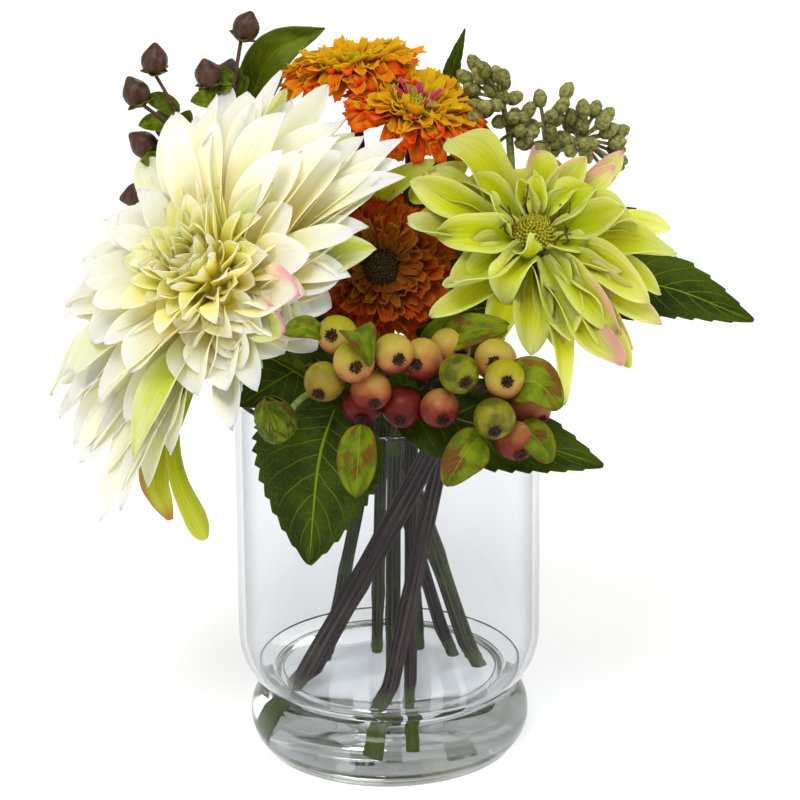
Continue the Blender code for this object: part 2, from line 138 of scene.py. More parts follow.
# %% Floor and light
def soft_lamp(name, place, size, power):
    data = bpy.data.lights.new(name, "AREA")
    data.shape, data.size, data.energy = "DISK", size, power
    lamp = bpy.data.objects.new(name, data)
    lamp.location = place
    lamp.rotation_mode = "QUATERNION"
    lamp.rotation_quaternion = (Vector(place) - target).to_track_quat("Z", "Y")
    bpy.context.scene.collection.objects.link(lamp)
    return lamp


soft_lamp("key", (-0.5, -1.4, 2.2), 1.2, 34)
soft_lamp("fill", (1.7, -1.0, 1.1), 1.2, 10)
soft_lamp("rim", (0.5, 1.8, 1.7), 0.9, 12)

world = bpy.data.worlds.new("surround")
bpy.context.scene.world = world
world.use_nodes = True
sky = world.node_tree
direction = sky.nodes.new("ShaderNodeTexCoord")
height = sky.nodes.new("ShaderNodeSeparateXYZ")
shade = sky.nodes.new("ShaderNodeValToRGB")
sky.links.new(direction.outputs["Generated"], height.inputs[0])
sky.links.new(height.outputs["Z"], shade.inputs["Fac"])
sky.links.new(shade.outputs["Color"], sky.nodes["Background"].inputs["Color"])
shade.color_ramp.elements[0].position, shade.color_ramp.elements[0].color = 0.0, (1, 1, 1, 1)
shade.color_ramp.elements[1].position, shade.color_ramp.elements[1].color = 1.0, (0.85, 0.85, 0.85, 1)
band = shade.color_ramp.elements.new(0.45)
band.color = (0.60, 0.60, 0.60, 1)
sky.nodes["Background"].inputs["Strength"].default_value = 0.88

bm = bmesh.new()
bmesh.ops.create_circle(bm, cap_ends=True, segments=96, radius=6.0)
floor_mesh = bpy.data.meshes.new("floor")
bm.to_mesh(floor_mesh)
bm.free()
floor = bpy.data.objects.new("floor", floor_mesh)
bpy.context.scene.collection.objects.link(floor)
floor.location.z = -0.0002
floor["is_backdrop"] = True
paint = bpy.data.materials.new("pale_floor")
paint.use_nodes = True
for socket, value in (("Base Color", (0.93, 0.93, 0.93, 1)), ("Roughness", 0.7),
                      ("Emission Color", (1, 1, 1, 1)), ("Emission Strength", 0.16)):
    paint.node_tree.nodes["Principled BSDF"].inputs[socket].default_value = value
floor_mesh.materials.append(paint)
print("floor and lamps are in place")

# %% [markdown]
# A finish is a small graph of shader nodes.  These helpers keep each graph readable: `wire` adds a
# node and plugs sockets or numbers into it, `mix` blends two colours, `ramp` turns a number into
# colours, `level` stretches a number between two limits and `dress` plugs in the result.  Silk petals
# and leaves carry a UV map called "sheet": u runs across the blade and v from its foot to its tip.
# They also carry a "tint" attribute with three numbers that differ from one petal to the next.


# %% Helpers for finishes
def wire(tree, kind, inputs=None, **settings):
    made = tree.nodes.new("ShaderNode" + kind)
    for key, value in settings.items():
        setattr(made, key, value)
    for key, value in (inputs or {}).items():
        if isinstance(value, bpy.types.NodeSocket):
            tree.links.new(value, made.inputs[key])
        else:
            made.inputs[key].default_value = value
    return made


def mix(tree, factor, first, second):
    """Blends two colours, each a socket or three numbers."""
    first, second = [(*c, 1.0) if isinstance(c, tuple) else c for c in (first, second)]
    return wire(tree, "Mix", {0: factor, 6: first, 7: second}, data_type="RGBA").outputs[2]


def ramp(tree, factor, stops):
    made = wire(tree, "ValToRGB", {"Fac": factor})
    line = made.color_ramp
    while len(line.elements) < len(stops):
        line.elements.new(0.5)
    for element, (position, colour) in zip(line.elements, stops):
        element.position = position
        element.color = (*colour, 1.0)
    return made.outputs["Color"]


def maths(tree, how, first, second=0.0, third=0.0):
    return wire(tree, "Math", {0: first, 1: second, 2: third}, operation=how).outputs[0]


def times(tree, first, second):
    return maths(tree, "MULTIPLY", first, second)


def level(tree, value, low, high, start=0.0, end=1.0):
    made = wire(tree, "MapRange", {"Value": value, "From Min": low, "From Max": high,
                                   "To Min": start, "To Max": end}, interpolation_type="SMOOTHSTEP")
    return made.outputs["Result"]


def object_place(tree):
    return wire(tree, "TexCoord").outputs["Object"]


def noise(tree, place, scale, detail=2.0):
    return wire(tree, "TexNoise", {"Vector": place, "Scale": scale, "Detail": detail}).outputs["Fac"]


def own_numbers(tree):
    """The tint attribute, whole and as its three numbers."""
    tint = wire(tree, "Attribute", attribute_name="tint").outputs["Vector"]
    return tint, wire(tree, "SeparateXYZ", {0: tint}).outputs


def new_finish(name, roughness, **sockets):
    """A material, its node tree and its Principled shader, with uniform values set on its sockets."""
    made = bpy.data.materials.new(name)
    made.use_nodes = True
    shader = made.node_tree.nodes["Principled BSDF"]
    shader.inputs["Roughness"].default_value = roughness
    for key, value in sockets.items():
        shader.inputs[key.replace("_", " ")].default_value = value
    return made, made.node_tree, shader


def dress(tree, shader, colour, height, strength, distance):
    """Plugs a colour and a relief into the shader."""
    bump = wire(tree, "Bump", {"Height": height, "Strength": strength, "Distance": distance})
    tree.links.new(colour, shader.inputs["Base Color"])
    tree.links.new(bump.outputs["Normal"], shader.inputs["Normal"])


def shaded(tree, colour, shade):
    return wire(tree, "HueSaturation", {"Color": colour, "Value": shade}).outputs["Color"]


def sheet_coordinates(tree):
    """The blade's UV, its u and v, and how near a point is to the side edges."""
    uv = wire(tree, "UVMap", uv_map="sheet").outputs["UV"]
    parts = wire(tree, "SeparateXYZ", {0: uv}).outputs
    edge = maths(tree, "ABSOLUTE", maths(tree, "MULTIPLY_ADD", parts["X"], 2.0, -1.0))
    return uv, parts["X"], parts["Y"], edge


def lengthwise(tree, uv, tint, across, along, detail=3.0):
    """Noise drawn out from foot to tip, and shifted from one blade to the next."""
    drawn = wire(tree, "Mapping", {"Vector": uv, "Scale": (across, along, 1.0)}).outputs[0]
    moved = wire(tree, "VectorMath", {0: tint, 1: (13.0, 7.0, 29.0)}, operation="MULTIPLY").outputs[0]
    place = wire(tree, "VectorMath", {0: drawn, 1: moved}, operation="ADD").outputs[0]
    return noise(tree, place, 1.0, detail)


# %% [markdown]
# Dyed silk is what the petals are cut from: a soft matt cloth, paler where it was airbrushed thinly,
# with fine veins pressed along it and light glowing through it a little.  The darker, yellower colour
# towards a petal's foot is partly its dye and partly painted shade for the deep middle of the flower.
# One function makes the cream, lime, orange and rose finishes, because only the dyes differ.


# %% Petal finishes
def petal_finish(name, foot, body, end, rim, lime, blush, rim_share=0.45, streak=0.10, glow=0.30,
                 across=26.0, streak_colour=None, streak_share=0.0, uneven=0.14):
    made, tree, shader = new_finish(name, 0.72, Sheen_Weight=0.02, Sheen_Roughness=0.5,
                                    Subsurface_Weight=glow, Subsurface_Scale=0.006,
                                    Subsurface_Radius=(1.0, 0.80, 0.25), Specular_IOR_Level=0.10)
    uv, u, v, edge = sheet_coordinates(tree)
    tint, own = own_numbers(tree)
    veins = lengthwise(tree, uv, tint, across, 1.6)
    cloudy = lengthwise(tree, uv, tint, 2.5, 1.8, 2.0)
    # From foot to tip: the darker foot colour is partly dye and partly painted shade deep in the flower.
    colour = ramp(tree, v, [(0.0, foot), (0.20, foot), (0.58, body), (1.0, end)])
    colour = mix(tree, times(tree, own["X"], level(tree, cloudy, 0.30, 0.62, 0.55, 1.0)), colour, lime)
    if streak_colour:
        drawn = times(tree, level(tree, veins, 0.48, 0.60), streak_share)
        colour = mix(tree, drawn, colour, streak_colour)
    colour = mix(tree, times(tree, level(tree, edge, 0.45, 1.0), rim_share), colour, rim)
    aside = maths(tree, "ADD", u, maths(tree, "MULTIPLY_ADD", cloudy, 0.5, -0.25))
    tip_and_rim = maths(tree, "MAXIMUM", level(tree, v, 0.80, 1.0), level(tree, aside, 0.62, 1.0))
    blushed = times(tree, times(tree, own["Y"], tip_and_rim), level(tree, v, 0.25, 0.75))
    colour = mix(tree, blushed, colour, blush)
    fine = maths(tree, "MULTIPLY_ADD", level(tree, veins, 0.35, 0.65), streak, 1.0 - streak)
    shade = times(tree, fine, maths(tree, "MULTIPLY_ADD", own["Z"], uneven, 1.04 - uneven))
    relief = maths(tree, "MULTIPLY_ADD", noise(tree, object_place(tree), 2600.0), 0.35, veins)
    dress(tree, shader, shaded(tree, colour, shade), relief, 0.45, 0.0006)
    return made


# The first colour of each finish is the petals' foot: partly dye, partly painted shade.
CREAM = petal_finish("cream_silk", (0.92, 0.78, 0.06), (0.98, 0.95, 0.60), (0.99, 0.98, 0.88),
                     (0.99, 0.99, 0.90), (0.60, 0.70, 0.06), (0.86, 0.22, 0.38),
                     rim_share=0.25, streak=0.04, glow=0.5)
CREAM_HEART = petal_finish("cream_heart_silk", (0.86, 0.68, 0.015), (0.94, 0.86, 0.22), (0.98, 0.95, 0.66),
                           (0.98, 0.97, 0.74), (0.62, 0.70, 0.05), (0.86, 0.22, 0.38),
                           rim_share=0.20, streak=0.04, glow=0.5)
LIME = petal_finish("lime_silk", (0.40, 0.40, 0.001), (0.68, 0.72, 0.022), (0.88, 0.90, 0.36),
                    (0.90, 0.91, 0.38), (0.50, 0.56, 0.001), (0.86, 0.22, 0.42),
                    rim_share=0.35, streak=0.12, glow=0.35, uneven=0.30)
BRACT = petal_finish("lime_bract_silk", (0.22, 0.26, 0.002), (0.34, 0.38, 0.006), (0.60, 0.64, 0.08),
                     (0.52, 0.56, 0.06), (0.20, 0.26, 0.002), (0.36, 0.05, 0.02), streak=0.16)
FLAME = petal_finish("orange_silk", (0.36, 0.03, 0.001), (0.80, 0.13, 0.001), (0.92, 0.27, 0.002),
                     (0.94, 0.36, 0.004), (0.68, 0.60, 0.002), (0.74, 0.010, 0.002), rim_share=0.25,
                     streak=0.20, across=7.0, streak_colour=(0.78, 0.04, 0.002), streak_share=0.45)
EMBER = petal_finish("dark_orange_silk", (0.10, 0.012, 0.001), (0.40, 0.035, 0.001), (0.60, 0.090, 0.002),
                     (0.62, 0.13, 0.003), (0.15, 0.10, 0.002), (0.46, 0.006, 0.002), rim_share=0.25,
                     streak=0.25, across=7.0, streak_colour=(0.34, 0.012, 0.002), streak_share=0.5)
ROSE = petal_finish("rose_silk", (0.30, 0.01, 0.03), (0.48, 0.015, 0.07), (0.58, 0.04, 0.12),
                    (0.60, 0.06, 0.14), (0.42, 0.34, 0.003), (0.50, 0.01, 0.05))
print("petal finishes:", CREAM.name, LIME.name, BRACT.name, FLAME.name, EMBER.name)

# %% [markdown]
# A silk leaf is printed: dark green cloth, a pale midrib, paired side veins that curve towards the
# tip, and a fine net between them.  The side veins are straight lines in a slanted coordinate,
# v - lean x edge, so the shader and the mesh can share one rule.  Berry leaves are lime, with rusty
# blotches and a rusty rim.

# %% Leaf finishes
VEIN_PAIRS, VEIN_LEAN = 9, 0.26


def leaf_finish(name, dark, light, vein, blotch, blotched):
    made, tree, shader = new_finish(name, 0.55, Specular_IOR_Level=0.09, Subsurface_Weight=0.08,
                                    Subsurface_Scale=0.002)
    uv, _, v, edge = sheet_coordinates(tree)
    tint, own = own_numbers(tree)
    slanted = maths(tree, "SUBTRACT", v, times(tree, edge, VEIN_LEAN))
    wobble = lengthwise(tree, uv, tint, 6.0, 6.0)
    slanted = maths(tree, "ADD", slanted, maths(tree, "MULTIPLY_ADD", wobble, 0.03, -0.015))
    cell = maths(tree, "FRACT", times(tree, slanted, VEIN_PAIRS))
    off_vein = maths(tree, "ABSOLUTE", maths(tree, "SUBTRACT", cell, 0.5))
    side_vein = times(tree, level(tree, off_vein, 0.455, 0.495), level(tree, edge, 0.98, 0.25, 0.0, 0.75))
    midrib = level(tree, edge, 0.030, 0.010)
    stretched = wire(tree, "Mapping", {"Vector": uv, "Scale": (30.0, 44.0, 1.0)}).outputs[0]
    cells = wire(tree, "TexVoronoi", {"Vector": stretched, "Scale": 1.0}, feature="DISTANCE_TO_EDGE")
    net = level(tree, cells.outputs["Distance"], 0.09, 0.0, 0.0, 0.16)
    lines = maths(tree, "MAXIMUM", maths(tree, "MAXIMUM", side_vein, midrib), net)
    cloudy = lengthwise(tree, uv, tint, 3.0, 4.0)
    colour = mix(tree, level(tree, cloudy, 0.32, 0.68), dark, light)
    patch = maths(tree, "MAXIMUM", level(tree, lengthwise(tree, uv, tint, 2.2, 2.6), 0.52, 0.62),
                  level(tree, edge, 0.88, 1.0))
    colour = mix(tree, times(tree, patch, blotched), colour, blotch)
    colour = mix(tree, lines, colour, vein)
    shade = maths(tree, "MULTIPLY_ADD", own["Z"], 0.35, 0.80)
    grain = noise(tree, object_place(tree), 1800.0)
    relief = maths(tree, "MULTIPLY_ADD", grain, 0.35, times(tree, lines, -1.0))
    dress(tree, shader, shaded(tree, colour, shade), relief, 0.5, 0.0006)
    return made


LEAF = leaf_finish("green_leaf_silk", (0.013, 0.028, 0.0004), (0.040, 0.070, 0.0010), (0.18, 0.28, 0.006),
                   (0.02, 0.05, 0.01), 0.0)
SMOOTH_LEAF = leaf_finish("plain_leaf_silk", (0.028, 0.055, 0.001), (0.115, 0.165, 0.004),
                          (0.19, 0.27, 0.01), (0.30, 0.34, 0.05), 0.25)
BERRY_LEAF = leaf_finish("berry_leaf_silk", (0.060, 0.105, 0.001), (0.170, 0.225, 0.003),
                         (0.24, 0.31, 0.010), (0.13, 0.030, 0.008), 0.85)
SEPAL = leaf_finish("sepal_silk", (0.030, 0.055, 0.001), (0.110, 0.160, 0.003), (0.20, 0.27, 0.01),
                    (0.07, 0.025, 0.008), 0.8)
print("leaf finishes:", LEAF.name, SMOOTH_LEAF.name, BERRY_LEAF.name, SEPAL.name)

# %% [markdown]
# Bark, fruit and seed heads are moulded foam and plastic.  Their finishes use Object coordinates,
# which are the frame's own metres, so a speckle or a ridge has its true size.  Berries and pods
# carry the "tint" attribute too: its first number runs from unripe to ripe, and on a berry it also
# holds painted shade that makes the underside darker and redder.


# %% Finishes for bark, fruit and seed heads
def bark_finish(name, dark, light, cut, patchy):
    made, tree, shader = new_finish(name, 0.70, Specular_IOR_Level=0.15)
    _, _, v, edge = sheet_coordinates(tree)
    place = object_place(tree)
    drawn = wire(tree, "CombineXYZ", {0: times(tree, edge, 9.0), 1: times(tree, v, 5.0)}).outputs[0]
    ridges = noise(tree, drawn, 1.0, 5.0)
    colour = mix(tree, level(tree, ridges, 0.42, 0.62), dark, light)
    patches = level(tree, noise(tree, place, 90.0, 3.0), 0.52, 0.66)
    colour = mix(tree, times(tree, patches, patchy), colour, cut)
    foot = level(tree, wire(tree, "SeparateXYZ", {0: place}).outputs["Z"], 0.034, 0.020)
    colour = mix(tree, times(tree, foot, 0.85), colour, cut)
    dress(tree, shader, colour, ridges, 1.0, 0.0020)
    return made


def berry_finish():
    made, tree, shader = new_finish("berry_skin", 0.38, Subsurface_Weight=0.08, Subsurface_Scale=0.003,
                                    Subsurface_Radius=(1.0, 0.5, 0.3), Specular_IOR_Level=0.16)
    _, own = own_numbers(tree)
    place = object_place(tree)
    cloudy = noise(tree, place, 160.0, 3.0)
    # The tint's first number is how ripe the berry is, plus painted shade on its underside.
    ripe = maths(tree, "ADD", own["X"], maths(tree, "MULTIPLY_ADD", cloudy, 0.35, -0.17))
    colour = ramp(tree, ripe, [(0.0, (0.30, 0.27, 0.004)), (0.16, (0.42, 0.31, 0.050)),
                               (0.36, (0.37, 0.15, 0.045)), (0.56, (0.17, 0.020, 0.010)),
                               (1.0, (0.07, 0.001, 0.002))])
    olive = mix(tree, level(tree, cloudy, 0.35, 0.65), (0.055, 0.066, 0.001), (0.19, 0.19, 0.003))
    colour = mix(tree, own["Y"], colour, olive)
    specks = wire(tree, "TexVoronoi", {"Vector": place, "Scale": 620.0}).outputs["Distance"]
    colour = mix(tree, level(tree, specks, 0.16, 0.08, 0.0, 0.45), colour, (0.25, 0.10, 0.03))
    dress(tree, shader, colour, cloudy, 0.15, 0.0005)
    return made


def seed_finish(name, dark, light, roughness, scale, depth=0.0006, stretch=1.0, shine=0.15):
    """A two-tone grained surface whose grain has a true size: scale is cells per metre."""
    made, tree, shader = new_finish(name, roughness, Specular_IOR_Level=shine)
    _, own = own_numbers(tree)
    place = wire(tree, "Mapping", {"Vector": object_place(tree), "Scale": (1.0, 1.0, stretch)}).outputs[0]
    grain = noise(tree, place, scale, 4.0)
    amount = maths(tree, "ADD", level(tree, grain, 0.35, 0.65, 0.0, 0.7), times(tree, own["X"], 0.4))
    dress(tree, shader, mix(tree, amount, dark, light), grain, 0.6, depth)
    return made


BROWN_BARK = bark_finish("brown_bark", (0.010, 0.004, 0.005), (0.085, 0.048, 0.052),
                         (0.080, 0.110, 0.010), 0.15)
GREEN_BARK = bark_finish("green_bark", (0.020, 0.022, 0.010), (0.095, 0.100, 0.045),
                         (0.090, 0.130, 0.012), 0.5)
BERRY = berry_finish()
TUFT = seed_finish("dry_calyx", (0.025, 0.010, 0.008), (0.090, 0.045, 0.030), 0.8, 1500.0)
POD = seed_finish("dark_pod", (0.022, 0.009, 0.004), (0.092, 0.040, 0.020), 0.42, 420.0, stretch=0.3,
                  shine=0.28)
TWIG = seed_finish("brown_twig", (0.050, 0.022, 0.018), (0.130, 0.070, 0.050), 0.6, 700.0)
GREEN_TWIG = seed_finish("green_twig", (0.10, 0.14, 0.03), (0.24, 0.30, 0.08), 0.6, 500.0)
SEED = seed_finish("grey_green_seed", (0.080, 0.078, 0.012), (0.310, 0.300, 0.090), 0.70, 620.0, 0.0007)
DARK_DISC = seed_finish("dark_disc", (0.012, 0.006, 0.004), (0.085, 0.032, 0.012), 0.7, 1300.0)
LIME_DISC = seed_finish("lime_disc", (0.21, 0.19, 0.004), (0.50, 0.46, 0.02), 0.6, 1100.0)
STAMEN = seed_finish("dry_stamen", (0.045, 0.018, 0.006), (0.20, 0.12, 0.03), 0.6, 900.0)
print("other finishes:", ", ".join(m.name for m in (BROWN_BARK, GREEN_BARK, BERRY, POD, SEED)))

# %% [markdown]
# Clear glass and water both refract.  Light Path lets the lamps' light through as if the glass were
# open, because a renderer can't follow a lamp's light through two curved walls quickly.  A thick foot
# bends a ray many times before it comes out, and pale petals pass light from one to the next, so rays
# may bounce more often than usual.  Layer Weight paints the wall's colour darker where it is seen
# edge on: partly the darkening of the longer way through the glass, and mostly painted shade that
# draws dark lines along the edges.  It is weaker on the foot.


# %% Glass and water finishes
def clear_finish(name, colour, ior):
    """A clear material that lets lamps shine through, with its node tree and its shader."""
    made, tree, shader = new_finish(name, 0.0, Base_Color=(*colour, 1.0), IOR=ior, Transmission_Weight=1.0,
                                    Specular_Tint=(0.22, 0.22, 0.22, 1.0))
    through = wire(tree, "BsdfTransparent", {"Color": (*[0.25 + 0.75 * c for c in colour], 1.0)})
    to_lamp = wire(tree, "LightPath").outputs["Is Shadow Ray"]
    both = wire(tree, "MixShader", {0: to_lamp, 1: shader.outputs[0], 2: through.outputs[0]})
    tree.links.new(both.outputs[0], tree.nodes["Material Output"].inputs["Surface"])
    return made, tree, shader


WATER = clear_finish("clear_water", (0.992, 0.996, 0.990), 1.33)[0]
GLASS_FACE, GLASS_PAINTED_EDGE, GLASS_BODY = (0.87, 0.88, 0.90), (0.05, 0.06, 0.08), (0.86, 0.89, 0.76)
GLASS, tree, shader = clear_finish("clear_glass", GLASS_FACE, 1.50)
# Painted shade: the glass colour darkens where the wall is seen edge on, less so on the foot.
grazing = level(tree, wire(tree, "LayerWeight", {"Blend": 0.5}).outputs["Facing"], 0.50, 1.0)
height = wire(tree, "SeparateXYZ", {0: object_place(tree)}).outputs["Z"]
grazing = times(tree, grazing, level(tree, height, 0.030, 0.044, 0.35, 1.0))
tree.links.new(mix(tree, grazing, GLASS_FACE, GLASS_PAINTED_EDGE), shader.inputs["Base Color"])
body = wire(tree, "VolumeAbsorption", {"Color": (*GLASS_BODY, 1.0), "Density": 9.0}).outputs[0]
tree.links.new(body, tree.nodes["Material Output"].inputs["Volume"])
light_paths = bpy.context.scene.cycles
light_paths.max_bounces, light_paths.transmission_bounces, light_paths.glossy_bounces = 28, 24, 16
light_paths.diffuse_bounces = 9
print("clear finishes:", GLASS.name, WATER.name)

# %% [markdown]
# Each finished piece goes through `finish_piece`: the bmesh becomes an object, gets its finish,
# stands for its CAD solids and rides on the body "root".  A sheet gets its cloth thickness here, and
# its cut edge is kept sharp, so that no dark line is shaded along it.


# %% Helpers for pieces
PETAL_CLOTH, HEART_CLOTH, FLORET_CLOTH, THIN_CLOTH, LEAF_CLOTH = metres((0.26, 0.30, 0.30, 0.40, 0.50))


def finish_piece(bm, name, finish, replaced=(), thickness=None, merge=True):
    if merge:
        bmesh.ops.remove_doubles(bm, verts=bm.verts, dist=1e-7)
    for edge in bm.edges:
        edge.smooth = not edge.is_boundary
    for face in bm.faces:
        face.smooth = True
    mesh = bpy.data.meshes.new(name)
    bm.to_mesh(mesh)
    bm.free()
    piece = bpy.data.objects.new(name, mesh)
    bpy.context.scene.collection.objects.link(piece)
    mesh.materials.append(finish)
    if thickness:
        cloth = piece.modifiers.new("thickness", "SOLIDIFY")
        cloth.thickness, cloth.offset = thickness, 0.0
    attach(piece, "root")
    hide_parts(*replaced)
    print(f"{name}: {len(mesh.polygons)} faces, stands for {', '.join(replaced) or 'nothing'}")


def new_solid_bmesh():
    bm = bmesh.new()
    bm.verts.layers.float_vector.new("tint")
    return bm


def new_sheet_bmesh():
    bm = bmesh.new()
    bm.loops.layers.uv.new("sheet")
    bm.verts.layers.float_vector.new("tint")
    return bm


def unit_grid(bm, columns, rows):
    """The corners of a grid one unit wide, with a UV map on a sheet's bmesh."""
    return bmesh.ops.create_grid(bm, x_segments=columns, y_segments=rows, size=0.5,
                                 calc_uvs=bool(bm.loops.layers.uv))["verts"]


def egg(bm, head, radius, half_height, centre, segments):
    """A ball drawn out along a head's axis."""
    for vertex in bmesh.ops.create_uvsphere(bm, u_segments=segments, v_segments=12, radius=1.0,
                                            calc_uvs=bool(bm.loops.layers.uv))["verts"]:
        x, y, z = vertex.co
        vertex.co = head @ Vector((x * radius, y * radius, centre + z * half_height))


def oblong(s):
    """Half width of a petal along its length: narrow foot, full middle, blunt point."""
    return max(0.02, (s ** 0.6) * max(0.0, 1.0 - s ** 4.5) ** 0.80 / 0.68)


def lance(s):
    """Like oblong, but drawn out to a sharper point."""
    return max(0.02, (s ** 0.55) * max(0.0, 1.0 - s ** 3.9) ** 0.80 / 0.68)


def broad(s):
    return max(0.02, (s ** 0.5) * max(0.0, 1.0 - s ** 3.2) ** 0.78 / 0.70)


def strap(s):
    return max(0.62 * (s > 0.5), min(1.0, (s / 0.6) ** 0.7) * max(0.0, 1.0 - s ** 9) ** 0.5, 0.2)


KNEE, REFLEX_FROM = 0.52, 0.62
RIPPLES, CREASES, CREASE_HEIGHT = 9.0, 8.0, 0.035


def petal(bm, head, angle, hub, tip, width, arch, cup, fold, twist, outline, tint, sway=0.0, ripple=0.06,
          reflex=0.0, teeth=0.0, mesh=(8, 14)):
    """One petal as a sheet.  hub and tip are (radius, height) in the head's frame; angle in degrees."""
    tints = bm.verts.layers.float_vector["tint"]
    grid = unit_grid(bm, *mesh)
    start, end = Vector(hub), Vector(tip)
    chord = end - start
    slope = math.atan2(chord.y, chord.x) + arch
    knee = start + Vector((math.cos(slope), math.sin(slope))) * chord.length * KNEE
    around = math.radians(angle)
    outward = Vector((math.cos(around), math.sin(around), 0))
    sideways = Vector((-math.sin(around), math.cos(around), 0))
    phase = angle * 0.37
    for vertex in grid:
        u, s = vertex.co.x * 2.0, 1.0 - (0.5 - vertex.co.y) ** 1.25
        spot = start * (1 - s) ** 2 + knee * 2 * s * (1 - s) + end * s * s
        run = ((knee - start) * (1 - s) + (end - knee) * s).normalized()
        ahead = outward * run.x + Vector((0, 0, run.y))
        above = Vector((0, 0, run.x)) - outward * run.y
        turn = twist * s
        across = sideways * math.cos(turn) + above * math.sin(turn)
        above = above * math.cos(turn) - sideways * math.sin(turn)
        half = width * outline(s)
        rise = half * (cup * (1.0 - 0.55 * s) * abs(u) ** 1.7 + fold * abs(u))
        rise += width * ripple * u * u * math.sin(RIPPLES * s + phase + u)
        rise += width * CREASE_HEIGHT * math.cos(u * CREASES) - reflex * max(0.0, s - REFLEX_FROM) ** 2
        along = teeth * abs(math.cos(u * 3.2)) * s ** 6
        place = outward * spot.x + Vector((0, 0, spot.y)) + across * (half * u) + above * rise
        vertex.co = head @ (place + ahead * along + sideways * (sway * s * s))
        vertex[tints] = tint


def ring_tips(node, head, petals, turn):
    """Reads the tips of a CAD ring's petals and returns a smooth guide: angle to (radius, height)."""
    back, tips = head.inverted(), {}
    for point in distinct_points(node):
        local = back @ point
        angle = math.degrees(math.atan2(local.y, local.x)) % 360
        radius = math.hypot(local.x, local.y)
        share = int(((angle - turn) % 360) // (360 / petals))
        if radius > tips.get(share, (0,))[0]:
            tips[share] = (radius, local.z, angle)

    def guide(angle):
        total = reach = height = 0.0
        for radius, lift, at in tips.values():
            gap = ((angle - at + 180) % 360 - 180) / (230 / petals)
            weight = math.exp(-gap * gap)
            total, reach, height = total + weight, reach + weight * radius, height + weight * lift
        return Vector((reach / total, height / total))
    return guide


def whorl(bm, head, dice, count, guide, hub, width, turn, arch, cup, fold=0.12, reflex=0.0, jitter=4.0,
          loose=1.0, turning=0.25, tint=None, trim=None, **form):
    """A ring of petals round a head, each a little different.  loose is how untidy the ring is."""
    for i in range(count):
        angle = turn + 360.0 * i / count + dice.uniform(-jitter, jitter)
        tip = trim(angle, guide(angle)) if trim else guide(angle)
        tip.x = hub[0] + (tip.x - hub[0]) * (1.0 + dice.uniform(-0.06, 0.045) * loose)
        tip.y += dice.uniform(-0.0020, 0.0020) * loose
        own = {"arch": arch + dice.uniform(-0.08, 0.08) * loose,
               "cup": cup * (1.0 + dice.uniform(-0.35, 0.30) * loose),
               "fold": fold * (1.0 + dice.uniform(-0.4, 0.5) * loose),
               "twist": dice.uniform(-turning, turning),
               "reflex": reflex + dice.uniform(-0.020, 0.024) * (loose > 1.5),
               "sway": dice.uniform(-0.09, 0.09) * tip.x * loose,
               "tint": tint(angle, dice) if tint else (0.0, 0.0, dice.random())}
        petal(bm, head, angle, hub, tip, width * (1.0 + dice.uniform(-0.14, 0.10) * loose), **own, **form)


print("petal and piece helpers are ready")

# %% [markdown]
# The white dahlia has about 200 petals in overlapping rings: long flat ones at the back, then
# shorter and steeper ones, then small ragged ones that close over its heart.  The rings between two
# CAD rings take the average of both, so the whole flower stays in the space of its solids.


# %% White dahlia
def between(first, second, share):
    return lambda angle: first(angle) * (1 - share) + second(angle) * share


def hill(angle, centre, width):
    """1 at an angle and falling smoothly to 0 on both sides of it."""
    away = (angle - centre + 180) % 360 - 180
    return math.exp(-(away / width) ** 2)


def white_tint(angle, dice):
    lime = (dice.random() < 0.05 + 0.16 * hill(angle, 110, 50)) * dice.uniform(0.2, 0.9)
    return (lime, 0.0, dice.random())


WHITE_GAPS = [  # angle, width of the dip, share cut off
    (-75, 15, 0.46), (-94, 8, 0.28), (158, 9, 0.15), (142, 8, 0.18)]


def white_trim(angle, tip):
    """Shorter where the bracts hang and behind the pods, and flatter on the side over the vase."""
    shorter = 1.0 - sum(much * hill(angle, centre, width) for centre, width, much in WHITE_GAPS)
    return Vector((tip.x * shorter, tip.y - 0.009 * hill(angle, -15, 55) * (tip.y > 0.004)))


def own_petals(bm, head, table, **form):
    """Petals that are set one by one."""
    for number, (angle, *sizes, twist, lime, rose) in enumerate(table):
        reach, lift, width = metres(sizes)
        petal(bm, head, angle, (0.0122, max(-0.0005, lift * 0.25)), (reach, lift), width, twist=twist,
              sway=0.004 * math.sin(number * 2.1), reflex=0.02 * math.sin(number * 1.3),
              tint=(lime, rose, (number * 0.37) % 1.0), **form)


